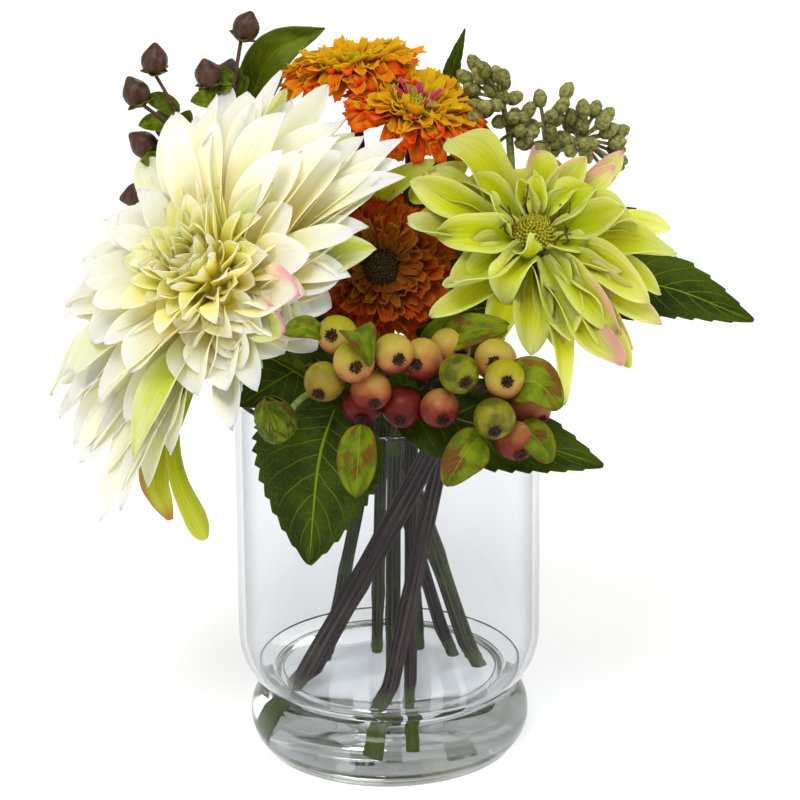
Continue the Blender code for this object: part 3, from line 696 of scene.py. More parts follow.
SILHOUETTE = [  # angle, tip radius, tip height, half width, twist, lime, rose
    (122, 106, 6, 8.2, 0.2, 0, 0), (114, 98, 6, 8.4, -0.2, 0, 0), (109, 100, 4, 8, 0.1, 1, 0),
    (103, 92, 4, 8.4, 0.3, 0, 0), (95, 86, 3, 8, -0.2, 0, 0), (87, 90, 2, 8.6, -0.2, 0, 0),
    (80, 86, 2, 7.6, 0.2, 0.8, 0), (73, 86, 3, 8.6, 0.1, 0, 0), (67, 95, -2, 8.8, -0.2, 0, 0),
    (62, 86, -1, 8.8, 0.2, 0, 0), (56, 75, 0, 8.8, 0.1, 0, 0), (49, 65, 2, 8.6, -0.2, 0, 0),
    (35, 66, -1, 9.2, 0.2, 1, 0), (41, 57, 4, 8.8, 0.1, 0, 0), (26, 52, 3, 9, 0.2, 0, 0),
    (17, 45, 2, 10, -0.1, 0.1, 0), (-49, 34, -4, 8.5, 0.3, 0, 0), (-59, 57, -8, 6.6, 0.2, 0, 0),
    (-64, 56, -8, 6, -0.3, 0, 0), (-99, 96, -14, 7.2, 0.3, 0, 0), (-102, 105, -18, 7.6, -0.3, 0, 0),
    (-96, 83, -14, 7, 0.1, 0.3, 0), (-109, 88, -12, 7.6, 0.2, 0.4, 0), (-116, 92, -14, 8.2, -0.2, 0, 0),
    (-122, 93, -16, 8, 0.2, 0.1, 0), (-130, 95, -16, 8.2, -0.2, 0, 0), (-137, 99, -18, 8.6, 0.2, 0, 0),
    (-146, 92, -14, 8.6, 0.1, 0.2, 0), (-155, 88, -12, 8.2, -0.2, 0, 0), (-163, 88, -8, 8.2, 0.2, 0, 0),
    (-170, 100, -12, 9, 0.1, 0.2, 0), (177, 98, -8, 8.6, -0.2, 0, 0), (169, 90, -4, 8.6, 0.2, 0, 0),
    (161, 76, 2, 8, 0.1, 0, 0), (148, 99, 1, 9.6, -0.1, 0.5, 0), (139, 80, 6, 8, 0.2, 0.2, 0),
    (131, 97, 5, 7.6, 0.2, 0, 0), (128, 92, 8, 8, -0.2, 0, 0)]
dice = random.Random(41)
outer, second, third, inner = [
    ring_tips(f"white_dahlia_petals_{name}", WHITE_HEAD, petals, turn)
    for name, petals, turn in (("outer", 15, 0), ("second", 14, 9), ("third", 13, 3), ("inner", 11, 7))]
bm = new_sheet_bmesh()
own_petals(bm, WHITE_HEAD, SILHOUETTE, outline=lance, arch=0.18, cup=0.45, fold=0.28, ripple=0.12)
BACK_RINGS = [  # count, guide, hub, half width, turn, arch, cup
    (14, between(outer, second, 0.55), (0.0122, 0.0014), 0.0092, 11, 0.17, 0.40),
    (14, second, (0.0124, 0.0034), 0.0092, 4, 0.22, 0.42)]
for count, guide, hub, width, turn, arch, cup in BACK_RINGS:
    whorl(bm, WHITE_HEAD, dice, count, guide, hub, width, turn, arch, cup, fold=0.25, reflex=0.01,
          jitter=7.0, loose=2.2, turning=0.35, tint=white_tint, trim=white_trim, ripple=0.12,
          outline=lance)
finish_piece(bm, "white_dahlia_back_petals", CREAM,
             ["white_dahlia_petals_outer", "white_dahlia_petals_second"], PETAL_CLOTH)
bm = new_sheet_bmesh()
FRONT_RINGS = [  # as in BACK_RINGS
    (13, between(second, third, 0.5), (0.0124, 0.0056), 0.0090, 14, 0.26, 0.46),
    (13, third, (0.0120, 0.0080), 0.0086, 2, 0.28, 0.50),
    (12, between(third, inner, 0.5), (0.0112, 0.0105), 0.0078, 12, 0.30, 0.54),
    (12, inner, (0.0104, 0.0130), 0.0070, 3, 0.32, 0.56)]
for count, guide, hub, width, turn, arch, cup in FRONT_RINGS:
    whorl(bm, WHITE_HEAD, dice, count, guide, hub, width, turn, arch, cup, fold=0.25, jitter=9.0,
          loose=2.3, turning=0.45, tint=white_tint, trim=white_trim, ripple=0.14, outline=oblong)
FRONT_PETALS = [  # as in SILHOUETTE
    (-91, 79, 5, 9.8, 0.3, 1, 0.3), (-79, 47, 9, 12.5, 0.2, 0, 0), (-104, 66, 2, 8.6, -0.2, 0, 0),
    (-13, 44, 9, 10, 0.6, 0.9, 1), (0, 47.5, 16.5, 12.5, 0.15, 0.1, 1), (14, 44, 12, 9, 0.2, 0, 0.5),
    (-22, 34, 14, 9, 0.2, 0, 0), (24, 44, 16, 9, 0.1, 0, 0), (-40, 32, 8, 8.5, -0.2, 0, 0)]
own_petals(bm, WHITE_HEAD, FRONT_PETALS, outline=broad, arch=0.35, cup=0.45, fold=0.30, ripple=0.12)
finish_piece(bm, "white_dahlia_front_petals", CREAM,
             ["white_dahlia_petals_third", "white_dahlia_petals_inner"], PETAL_CLOTH)
bm = new_sheet_bmesh()
HEART_RINGS = [  # count, hub, tip, half width, arch: the last ones bend in over the middle
    (12, (9.2, 15), (33, 36), 5.8, 0.26), (12, (8.2, 17.5), (26.5, 40), 5.4, 0.18),
    (11, (7.4, 20), (20.5, 42.5), 5, 0.08), (10, (6.4, 22), (15, 44), 4.4, -0.05),
    (9, (5.4, 24), (10, 44.5), 4, -0.2), (7, (4.4, 26), (5.5, 43), 3.6, -0.4),
    (5, (3, 28), (1.8, 41), 3.2, -0.5)]
for i, (count, hub, tip, width, arch) in enumerate(HEART_RINGS):
    hub, tip = metres(hub), Vector(metres(tip))
    whorl(bm, WHITE_HEAD, dice, count, lambda angle, tip=tip: tip.copy(), hub, width * MM, turn=i * 17.0,
          jitter=9.0, arch=arch, loose=2.0, turning=0.45, cup=0.6, fold=0.3, ripple=0.18, outline=lance,
          tint=lambda angle, dice: (0.6 * dice.random() ** 2, 0.0, dice.random()))
for angle in range(-110, 40, 21):
    petal(bm, WHITE_HEAD, angle, (0.0095, 0.0130), (0.0250, 0.0300 + 0.00003 * angle), 0.0062, arch=0.3,
          cup=0.6, fold=0.3, twist=0.4 * math.sin(angle), outline=lance,
          tint=(0.1, 0.0, 0.5 + 0.4 * math.sin(angle)))
egg(bm, WHITE_HEAD, 0.0135, 0.0130, 0.0150, 20)
finish_piece(bm, "white_dahlia_heart_petals", CREAM_HEART, ["white_dahlia_heart"],
             HEART_CLOTH)

# %% [markdown]
# The lime dahlia is an open one: some fifty broad folded petals, each set one by one, deeper in colour
# towards the middle, with rose dye on one side of some.  Its middle is a low dome of beads with dry
# curled stamens round it and one small petal bent over it.


# %% Lime dahlia
LIME_PETALS = [  # angle, tip radius, tip height, half width, arch, cup, fold, twist, lime, rose
    (124, 57.4, 2, 12.5, 0.35, 0.45, 0.15, 0.25, 0.25, 0), (128, 39.7, 12, 5.2, 0.35, 0.6, 0.3, 0, 1, 0),
    (159, 54.6, 4, 8.6, 0.3, 0.25, 0.55, -0.35, 0.25, 0), (172, 49.2, -2, 8, 0.2, 0.4, 0.3, 0.3, 0, 0),
    (162, 53.4, -4, 7, 0.2, 0.3, 0.3, 0, 0.6, 0), (-169, 39.4, 10, 9.8, 0.4, 0.35, 0.5, -0.25, 0.9, 0),
    (-155, 40, 4, 10, 0.35, 0.4, 0.2, 0.1, 0.55, 0), (-138, 42.7, 4, 8.8, 0.45, 0.3, 0.35, 0.35, 0.35, 0),
    (-115, 32.5, 6, 9, 0.55, 0.75, 0.25, 0.15, 0.4, 0), (-87, 43.7, 0, 8, 0.4, 0.5, 0.5, -0.3, 0.35, 0.2),
    (-135, 51.9, -6, 7.2, 0.25, 0.4, 0.3, 0, 0.7, 0), (-96, 48.3, -6, 9, 0.3, 0.4, 0.2, 0, 0, 0),
    (-87, 50.6, -4, 4.6, 0.3, 0.4, 0.3, 0.3, 0.3, 0.9), (-77, 69, -10, 5.6, 0.25, 0.5, 0.3, -0.2, 0.1, 0),
    (-72, 61.8, -5, 10, 0.3, 0.5, 0.35, -0.25, 0.4, 1), (-56, 54.8, 3, 7.6, 0.35, 0.3, 0.6, 0.4, 0.4, 1),
    (-46, 49.3, 0, 8, 0.35, 0.5, 0.3, -0.3, 0.5, 0.9), (-44, 61.3, -3, 7, 0.3, 0.6, 0.3, 0.3, 0.2, 0.45),
    (-56, 64.3, -7, 8, 0.3, 0.4, 0.3, 0, 0.7, 0), (-52, 61.2, -3, 6, 0.3, 0.4, 0.3, 0.3, 0.1, 0.3),
    (-29, 57.1, -5, 7, 0.3, 0.4, 0.3, 0, 0.8, 0), (-27, 51.6, 3, 9, 0.35, 0.4, 0.4, 0.25, 0.6, 0.25),
    (-11, 57.3, -2, 10.5, 0.35, 0.45, 0.25, -0.2, 0.15, 0), (6, 46.5, 5, 10, 0.35, 0.4, 0.3, -0.2, 0.1, 0),
    (13, 56.1, -3, 6.8, 0.25, 0.4, 0.3, 0, 0, 0), (0, 34.3, 11, 8.6, 0.4, 0.45, 0.3, 0.2, 0.75, 0),
    (38, 31.8, 12, 8.4, 0.35, 0.5, 0.3, -0.1, 0.95, 0), (27, 40.2, 0, 8.6, 0.3, 0.4, 0.3, 0, 0.1, 1),
    (39, 55.1, -4, 6, 0.25, 0.5, 0.3, 0.2, 0.3, 1), (45, 40.8, 2, 7, 0.3, 0.4, 0.3, 0, 0.1, 0.9),
    (83, 42.6, 6, 7.6, 0.3, 0.6, 0.35, 0.2, 0.35, 1), (96, 37.2, 2, 8, 0.25, 0.4, 0.3, 0, 0.2, 0.6),
    (65, 34.2, 7, 7.4, 0.3, 0.5, 0.3, 0, 0.75, 0.3), (100, 21, 16, 5, 0.3, 0.6, 0.3, 0.1, 1, 0),
    (81, 22.2, 17, 5, 0.3, 0.6, 0.3, -0.1, 1, 0), (65, 21.9, 14, 5, 0.3, 0.6, 0.3, 0, 1, 0),
    (143, 48.2, 0, 6, 0.3, 0.4, 0.3, 0.2, 0.8, 0), (140, 53.7, -4, 6, 0.3, 0.3, 0.2, 0, 0.1, 0),
    (-51, 31.7, 8, 4.4, 0.4, 0.6, 0.4, 0.3, 0.2, 0.15), (-44, 37.1, 6, 4.6, 0.4, 0.6, 0.4, -0.2, 0.5, 0.2),
    (173, 20.8, 11, 6, 0.45, 0.5, 0.4, 0.2, 0.9, 0), (-67, 28.6, 4, 7, 0.4, 0.5, 0.4, 0.2, 0.6, 0),
    (-36, 21.7, 12, 6, 0.4, 0.5, 0.3, 0, 0.9, 0), (-68, 45.1, -3, 9, 0.3, 0.4, 0.3, 0, 0.7, 0),
    (-119, 46.6, -8, 8, 0.3, 0.4, 0.3, 0, 0.8, 0), (-50, 43.4, -2, 9, 0.3, 0.4, 0.3, 0, 0.6, 0)]
bm = new_sheet_bmesh()
for number, (angle, *sizes, arch, cup, fold, twist, lime, rose) in enumerate(LIME_PETALS):
    reach, lift, width = metres(sizes)
    petal(bm, GREEN_HEAD, angle, (0.0092, max(-0.003, lift * 0.3)), (reach, lift), width * 0.95, arch,
          cup=cup * 1.15, fold=fold + 0.25, twist=twist * 1.7, sway=0.008 * math.sin(number * 2.3),
          ripple=0.34, reflex=0.08 * math.sin(number * 1.7), outline=broad, mesh=(12, 16),
          tint=(lime, 0.8 * rose, (number * 0.37) % 1.0))
petal(bm, GREEN_HEAD, -104, (0.0098, 0.0040), (0.0062, 0.0185), 0.0064, arch=-0.95, cup=1.0, fold=-0.2,
      twist=1.3, ripple=0.4, outline=broad, tint=(0.9, 0.0, 0.8))
finish_piece(bm, "lime_dahlia_petals", LIME,
             [f"green_dahlia_petals_{name}" for name in ("outer", "middle", "inner")], THIN_CLOTH)

# %% [markdown]
# A disc of florets is a dome covered with small beads set on a sunflower spiral, in which each
# bead turns by the golden angle from the last.  Each bead is a coarse ball, since there are many.


# %% Beaded discs
GOLDEN_ANGLE = 2.39996


def beads(bm, head, dice, count, radius, height, rise, size, stretch=1.6):
    tints = bm.verts.layers.float_vector["tint"]
    for i in range(count):
        share = math.sqrt((i + 0.5) / count)
        around = i * GOLDEN_ANGLE
        place = Vector((radius * share * math.cos(around), radius * share * math.sin(around),
                        height + rise * (1 - share ** 2)))
        made = bmesh.ops.create_icosphere(bm, subdivisions=1, radius=size * dice.uniform(0.8, 1.2))["verts"]
        tone = dice.random()
        for vertex in made:
            vertex.co = head @ (place + Vector((vertex.co.x, vertex.co.y, vertex.co.z * stretch)))
            vertex[tints] = (tone, 0.0, tone)


def smooth_route(points, count):
    """Points read from one smooth curve through the route's own points."""
    knots = [Vector(p) for p in points]
    knots = [knots[0] * 2 - knots[1]] + knots + [knots[-1] * 2 - knots[-2]]
    spans, found = len(knots) - 3, []
    for step in range(count + 1):
        at = min(step * spans / count, spans - 1e-9)
        i, t = int(at), at - int(at)
        a, b, c, d = knots[i:i + 4]
        found.append(0.5 * (2 * b + (c - a) * t + (2 * a - 5 * b + 4 * c - d) * t * t
                            + (3 * b - a - 3 * c + d) * t ** 3))
    return found


def tube(bm, line, radius, sides=8, taper=1.0, knobs=None, tint=(0.5, 0.0, 0.5)):
    """A closed round stalk along a line: a grid rolled up round it, welded, and capped at both ends."""
    tints = bm.verts.layers.float_vector["tint"]
    rows = len(line) - 1
    grid = unit_grid(bm, sides, rows)
    facing = (line[1] - line[0]).orthogonal().normalized()
    frames = []
    for i in range(rows + 1):
        ahead = (line[min(i + 1, rows)] - line[max(i - 1, 0)]).normalized()
        facing = (facing - ahead * facing.dot(ahead)).normalized()
        frames.append((facing, ahead.cross(facing)))
    for vertex in grid:
        row, turn = round((vertex.co.y + 0.5) * rows), (vertex.co.x + 0.5) * math.tau
        first, other = frames[row]
        size = radius * (1 + (taper - 1) * row / rows) * (knobs(row / rows, turn) if knobs else 1.0)
        vertex.co = line[row] + first * (math.cos(turn) * size) + other * (math.sin(turn) * size)
        vertex[tints] = tint
    bmesh.ops.remove_doubles(bm, verts=grid, dist=1e-6)
    left = [v for v in grid if v.is_valid]
    ends = {e for v in left for e in v.link_edges if e.is_boundary}
    bmesh.ops.holes_fill(bm, edges=list(ends), sides=0)
    bmesh.ops.recalc_face_normals(bm, faces=list({f for v in left for f in v.link_faces}))


dice = random.Random(3)
bm = new_solid_bmesh()
beads(bm, GREEN_HEAD, dice, 130, 0.0086, 0.0075, 0.0050, 0.00075)
finish_piece(bm, "lime_dahlia_disc", LIME_DISC, ["green_dahlia_disc"], merge=False)
bm = new_solid_bmesh()
for i in range(16):
    around = dice.choice((-0.2, 0.5, 2.0, 2.4, 2.9)) + dice.uniform(-0.25, 0.25)
    reach = dice.uniform(0.0085, 0.0105)
    lean, tall = dice.uniform(0.0, 0.0070), dice.uniform(0.006, 0.0125)
    foot = Vector((reach * math.cos(around), reach * math.sin(around), 0.0050))
    tip = foot * (1 + lean / reach) + Vector((*[dice.uniform(-0.002, 0.002) for _ in "xy"], tall))
    bend = (foot + tip) / 2 + Vector((*[dice.uniform(-0.003, 0.003) for _ in "xy"], 0.001))
    line = [GREEN_HEAD @ p for p in smooth_route([foot, bend, tip], 5)]
    tube(bm, line, 0.00034, sides=4, taper=1.6, tint=(dice.random(), 0, 0))
finish_piece(bm, "lime_dahlia_stamens", STAMEN)

# %% [markdown]
# Each gerbera is nine tiers of short florets with toothed, ruffled ends.  The outer tiers lie flat
# or droop, the inner ones stand up round a bowl, and in the bowl is a beaded disc.  There are some
# two hundred florets on a head, so each is a grid of a few faces.

# %% Gerberas
GERBERA_TIERS = [  # count, tip (radius, height above the head's own lift), hub, half width, arch
    (26, (30, -6), (10, -2.2), 3.6, 0.3), (28, (29, -3), (10, -1.4), 3.4, 0.28),
    (28, (27.2, 0.4), (9.8, -0.6), 3.3, 0.25), (28, (25.2, 3.6), (9.4, 0.2), 3.1, 0.18),
    (28, (23, 6.6), (9, 0.8), 2.8, 0.08), (26, (20.6, 9.2), (8.6, 1.4), 2.6, -0.04),
    (24, (18, 10.8), (8, 1.6), 2.3, -0.14), (22, (15.2, 10.8), (7.2, 1.8), 2, -0.2),
    (20, (12.4, 9), (6.2, 1.8), 1.7, -0.2)]
GERBERA_LOOKS = {  # height of the outer tier, how tall the inner tiers stand, finish, red, yellow
    "back": (-0.001, 0.62, FLAME, 0.85, 1.00), "middle": (0.001, 0.60, FLAME, 1.20, 0.90),
    "front": (0.000, 1.0, EMBER, 1.20, 0.20)}
for number, (key, (lift, tall, finish, red_share, yellow)) in enumerate(GERBERA_LOOKS.items()):
    head, dice = GERBERA_HEADS[key], random.Random(50 + number)
    bm = new_sheet_bmesh()
    for tier, (count, tip, hub, width, arch) in enumerate(GERBERA_TIERS):
        def floret_tint(_, dice, tier=tier, red_share=red_share, yellow=yellow):
            red = dice.random() < (0.80 - 0.16 * tier) * red_share
            gold = (0.5 + 0.5 * dice.random()) * min(1.0, max(0.0, tier - 4.5 + 3.2 * yellow) / 2.5)
            return (gold * (not red), 0.95 * red, dice.random())
        reach, high = metres(tip)
        tip = Vector((reach, lift + high * (tall if high > 0 else 1.0)))
        whorl(bm, head, dice, count, lambda angle, tip=tip: tip.copy(), metres(hub), width * MM * 1.12,
              turn=tier * 5.0, arch=arch, cup=0.6, fold=0.15, ripple=0.32, teeth=0.0012, outline=strap,
              mesh=(6, 5), tint=floret_tint, jitter=6.0, loose=1.8, turning=0.5)
    finish_piece(bm, f"gerbera_{key}_florets", finish,
                 [f"gerbera_{key}_petals_outer", f"gerbera_{key}_petals_inner"], FLORET_CLOTH)
    bm = new_solid_bmesh()
    beads(bm, head, dice, 110, 0.0078, 0.0034, 0.0014, 0.00062, stretch=2.4)
    finish_piece(bm, f"gerbera_{key}_beads", DARK_DISC if key == "front" else LIME_DISC,
                 [f"gerbera_{key}_disc"], merge=False)
bm = new_sheet_bmesh()
for tip, count in (((0.0098, 0.0076), 11), ((0.0060, 0.0074), 7)):
    whorl(bm, GERBERA_HEADS["middle"], dice, count, lambda angle, tip=tip: Vector(tip), (0.0040, 0.0030),
          0.0016, turn=count * 11, arch=-0.1, cup=0.5, teeth=0.0012, outline=strap, mesh=(4, 5),
          tint=lambda angle, dice: (dice.random() < 0.62, 0.0, dice.random()), jitter=8.0, loose=1.8)
finish_piece(bm, "gerbera_middle_tuft", ROSE, thickness=FLORET_CLOTH)

# %% [markdown]
# A leaf blade is a grid laid along a smooth midrib.  Its rim is cut into teeth that point to the
# tip, the cloth is quilted up between the side veins, and the whole blade waves a little.


# %% Leaves
def leaf_outline(s):
    return max(0.03, math.sin(math.pi * s ** 0.75) ** 0.85)


def round_outline(s):
    return max(0.04, math.sin(math.pi * s ** 0.85) ** 0.60)


def strip_outline(s):
    return max(0.10, math.sin(math.pi * min(s, 0.985)) ** 0.5)


def spoon_outline(s):
    """Narrow for most of its length, then broad and round at the end."""
    return (0.55 + 0.45 * min(1.0, s / 0.85) ** 3) * max(0.05, 1.0 - s ** 14) ** 0.5


TOOTH_DEPTH, TOOTH_LEAN = 0.10, 0.012


def blade(bm, route, facing, width, wave, tint, fold=0.10, teeth=0, quilt=0.0005, roll=0.0,
          outline=leaf_outline, mesh=(16, 60)):
    tints = bm.verts.layers.float_vector["tint"]
    grid, rows = unit_grid(bm, *mesh), mesh[1]
    midrib = smooth_route(route, rows)
    length = sum((midrib[i + 1] - midrib[i]).length for i in range(rows))
    for vertex in grid:
        s, u = vertex.co.y + 0.5, vertex.co.x * 2
        row = round(s * rows)
        ahead = (midrib[min(row + 1, rows)] - midrib[max(row - 1, 0)]).normalized()
        side = ahead.cross(Vector(facing)).normalized()
        up = side.cross(ahead)
        half = width / 2 * outline(s)
        cell = (s - VEIN_LEAN * abs(u)) * VEIN_PAIRS % 1.0
        pillow = math.sin(math.pi * cell) * min(1.0, 4 * abs(u)) * math.sin(math.pi * s)
        rise = half * fold * abs(u) + quilt * pillow + roll * half * u * abs(u)
        rise += wave * width * (math.sin(7.0 * s + 2.2 * (u > 0)) * u * u * 0.5 + 0.25 * math.sin(4.0 * s))
        notch, at_rim = s * teeth % 1.0, abs(u) ** 8 * bool(teeth)
        reach = 1.0 - TOOTH_DEPTH * (1.0 - notch) * at_rim
        shift = ahead * (length * TOOTH_LEAN * notch * at_rim)
        vertex.co = midrib[row] + side * (u * half * reach) + up * rise + shift
        vertex[tints] = tint


LEAVES = {  # route in percent of the node's box, facing, width, teeth, fold, finish
    "leaf_front_left": ([(62, 83, 99), (49, 52, 66), (40, 45, 0)], (-0.38, -0.88, 0.2), 62, 15, 0.1, LEAF),
    "leaf_front_right": ([(0, 82, 71), (46, 48, 46), (100, 34, 3)], (0.1, -0.78, 0.62), 41, 15, 0.1, LEAF),
    "leaf_right": ([(0, 66, 29), (49, 51, 52), (100, 19, 3)], (0.05, -0.7, 0.7), 36, 12, 0.1, LEAF),
    "leaf_right_upper": ([(1, 43, 3), (51, 54, 60), (100, 49, 76)], (0, -0.6, 0.8), 22, 8, 0.1, LEAF),
    "leaf_under_left": ([(99, 91, 22), (50, 47, 55), (2, 2, 68)], (-0.1, -0.8, 0.6), 34, 0, 0.1,
                        SMOOTH_LEAF),
    "leaf_under_right": ([(1, 92, 16), (50, 45, 57), (99, 6, 83)], (0.1, -0.8, 0.6), 30, 0, 0.1,
                         SMOOTH_LEAF),
    "leaf_top_left": ([(14, 32, 1), (43, 62, 67), (99, 62, 95)], (0.2, -0.8, 0.4), 19, 0, 0.35, SMOOTH_LEAF),
    "leaf_top_right": ([(24, 58, 0), (41, 58, 50), (97, 86, 100)], (-0.3, -0.95, 0), 9, 7, 0.1, LEAF),
    "leaf_back_left": ([(99, 17, 2), (55, 56, 74), (1, 96, 67)], (-0.2, 0.4, 0.9), 40, 13, 0.1, LEAF),
    "leaf_back_right": ([(19, 1, 1), (57, 50, 84), (94, 99, 91)], (0.2, 0.4, 0.9), 40, 13, 0.1, LEAF),
    "leaf_back_middle": ([(69, 1, 2), (46, 49, 83), (28, 99, 59)], (0, 0.45, 0.9), 34, 12, 0.1, LEAF)}
for number, (node, (route, facing, width, teeth, fold, finish)) in enumerate(LEAVES.items()):
    bm = new_sheet_bmesh()
    blade(bm, [inside(node, p) for p in route], facing, width * MM, fold=fold, teeth=teeth, wave=0.04,
          tint=(0.0, 0.0, (number * 0.37) % 1.0))
    finish_piece(bm, node + "_blade", finish, [node], LEAF_CLOTH)

# %% [markdown]
# Two long bracts hang below the white dahlia.  The short one has rust on its rim and the long one
# curls at its end.  They are blades with strap-like outlines.

# %% Hanging bracts
BRACTS = {  # route in percent of the node's box, facing, width, roll
    "white_dahlia_bract_long": ([(95, 93.6, 98), (32, 50, 90), (-30, 30, 72), (-38, 20, 50), (-25, 10, 31),
        (5, 6, 13), (26, 10, 0)], (0.25, -0.9, 0.1), 10.5, 0.5),
    "white_dahlia_bract_short": ([(92.1, 94.4, 97), (45, 50, 72), (-2, 25, 42), (-16, 10, 20), (-2, 5, 6),
        (20, 8, -8)], (-0.2, -0.9, 0.1), 14.5, -0.4)}
for number, (node, (route, facing, width, roll)) in enumerate(BRACTS.items()):
    bm = new_sheet_bmesh()
    blade(bm, [inside(node, p) for p in route], facing, width * MM, fold=-0.45, wave=0.10, quilt=0.0,
          roll=roll, outline=strip_outline if number else spoon_outline, mesh=(10, 44),
          tint=(0.2, 0.75 * number, 0.5))
    finish_piece(bm, node + "_blade", BRACT, [node], LEAF_CLOTH)

# %% [markdown]
# More green closes the gaps between the heads: dark leaves behind the front gerbera and the berries,
# and two loose lime petals under the upper gerberas.  They have no solids of their own, and are
# placed from the middle of the vase's rim, up among the stems.

# %% Leaves between the heads
RIM = inside("vase", (50, 50, 100))
FILLERS = [  # route from the rim's middle, facing, width
    [(-6, 4, 25), (-20, 0, 50), (-30, -6, 68), (0, -1, 0.3), 26],
    [(4, 10, 30), (18, 6, 54), (24, 2, 76), (0, -1, 0.2), 24],
    [(-4, 14, 40), (-8, 12, 68), (-18, 18, 92), (0.2, -1, 0.2), 26],
    [(8, 20, 45), (18, 22, 72), (32, 26, 94), (0, -1, 0.2), 26],
    [(2, -40, 6), (14, -50, 20), (30, -52, 30), (0, -0.9, 0.4), 30],
    [(-4, -36, 10), (-16, -50, 20), (-30, -54, 32), (0, -0.9, 0.4), 28],
    [(10, 10, 20), (34, 6, 30), (62, 8, 32), (0.1, -0.8, 0.6), 34],
    [(-10, 20, 40), (-34, 30, 66), (-50, 40, 90), (0, -0.8, 0.5), 34],
    [(14, 30, 50), (36, 40, 64), (64, 46, 66), (0.1, 0.6, 0.8), 36],
    [(-18, -28, 24), (-38, -40, 20), (-60, -46, 8), (0, -0.9, 0.4), 36]]
bm = new_sheet_bmesh()
for number, (*route, facing, width) in enumerate(FILLERS):
    blade(bm, [RIM + Vector(metres(p)) for p in route], facing, width * MM, teeth=11, wave=0.06,
          mesh=(12, 44), tint=(0.0, 0.0, (number * 0.29) % 0.6))
finish_piece(bm, "leaves_between_heads", LEAF, thickness=LEAF_CLOTH)
LOOSE_PETALS = [  # as in FILLERS
    [(-12, 12, 70), (2, 4, 84), (21, 0, 97.5), (-0.5, -0.8, 0.5), 12.5],
    [(10, 2, 80), (24, -4, 90), (34, -8, 98), (-0.3, -0.9, 0.4), 13]]
bm = new_sheet_bmesh()
for *route, facing, width in LOOSE_PETALS:
    blade(bm, [RIM + Vector(metres(p)) for p in route], facing, width * MM, fold=0.5, wave=0.05, quilt=0.0,
          outline=round_outline, mesh=(10, 24), tint=(0.9, 0.0, 0.4))
finish_piece(bm, "loose_lime_petals", LIME, thickness=THIN_CLOTH)

# %% [markdown]
# The stems are wrapped wire dressed as bark: round, ridged along their length, with a knot here and
# there.  Each one is a tube along the CAD stem's own route, from its foot in the water to its head.

# %% Stems
FLOOR_GLASS, STEM_CIRCLE = 0.0050, 0.0490
STEM_TONES = {"brown": BROWN_BARK, "green": GREEN_BARK}
STEMS = {  # radius, route in percent of the node's box, tone
    "stem_green_dahlia": (4.4, [(3, 72, 1), (14, 65, 12), (56, 37, 55), (81, 53, 83), (97, 28, 99)],
        "brown"),
    "stem_white_dahlia": (3.6, [(97, 92, 1), (90, 90, 12), (61, 79, 61), (40, 75, 77), (3, 7, 99)], "green"),
    "stem_eucalyptus": (3.6, [(6, 5, 1), (14, 13, 10), (48, 44, 52), (73, 69, 79), (95, 95, 99)], "brown"),
    "stem_berries": (3, [(17, 76, 0), (20, 80, 14), (29, 94, 69), (53, 56, 87), (83, 4, 99)], "green"),
    "stem_gerbera_front": (2.6, [(28, 94, 0), (35, 81, 12), (61, 28, 58), (61, 24, 84), (72, 5, 100)],
        "green"),
    "stem_gerbera_middle": (2.6, [(30, 4, 0), (33, 15, 9), (47, 57, 47), (70, 76, 75), (57, 96, 100)],
        "brown"),
    "stem_gerbera_back": (2.6, [(92, 55, 0), (87, 46, 9), (67, 8, 44), (26, 55, 74), (8, 92, 100)], "green"),
    "stem_hypericum": (2.8, [(97, 85, 0), (90, 71, 11), (61, 15, 53), (28, 50, 76), (3, 85, 99)], "brown"),
    "stem_foliage": (2.6, [(10, 94, 1), (26, 80, 14), (90, 23, 70), (71, 16, 88), (56, 6, 100)], "green")}
for number, (node, (radius, route, tone)) in enumerate(STEMS.items()):
    def knobs(s, turn, number=number):
        ridges = 0.07 * math.sin(5 * turn + 3 * s + number) + 0.04 * math.sin(9 * turn - 7 * s)
        knots = [0.13 + 0.21 * k + 0.03 * math.sin(number + k) for k in range(4)]
        swell = sum(0.14 * math.exp(-((s - knot) / 0.012) ** 2) for knot in knots)
        return 1.0 + ridges + swell + 0.05 * math.sin(31 * s + number)
    places = [inside(node, p) for p in route]
    ahead = places[0] - places[1]
    reach = (places[0].z - FLOOR_GLASS - 0.0010) / -ahead.z
    lower = places[0] + ahead * reach * 0.9
    wide = math.hypot(lower.x, lower.y)
    lower.x, lower.y = [c * min(1.0, STEM_CIRCLE / wide) for c in lower.xy]
    bm = new_sheet_bmesh()
    tube(bm, smooth_route([lower] + places[1:], 90), radius * MM, sides=24, knobs=knobs)
    finish_piece(bm, node + "_bark", STEM_TONES[tone], [node])
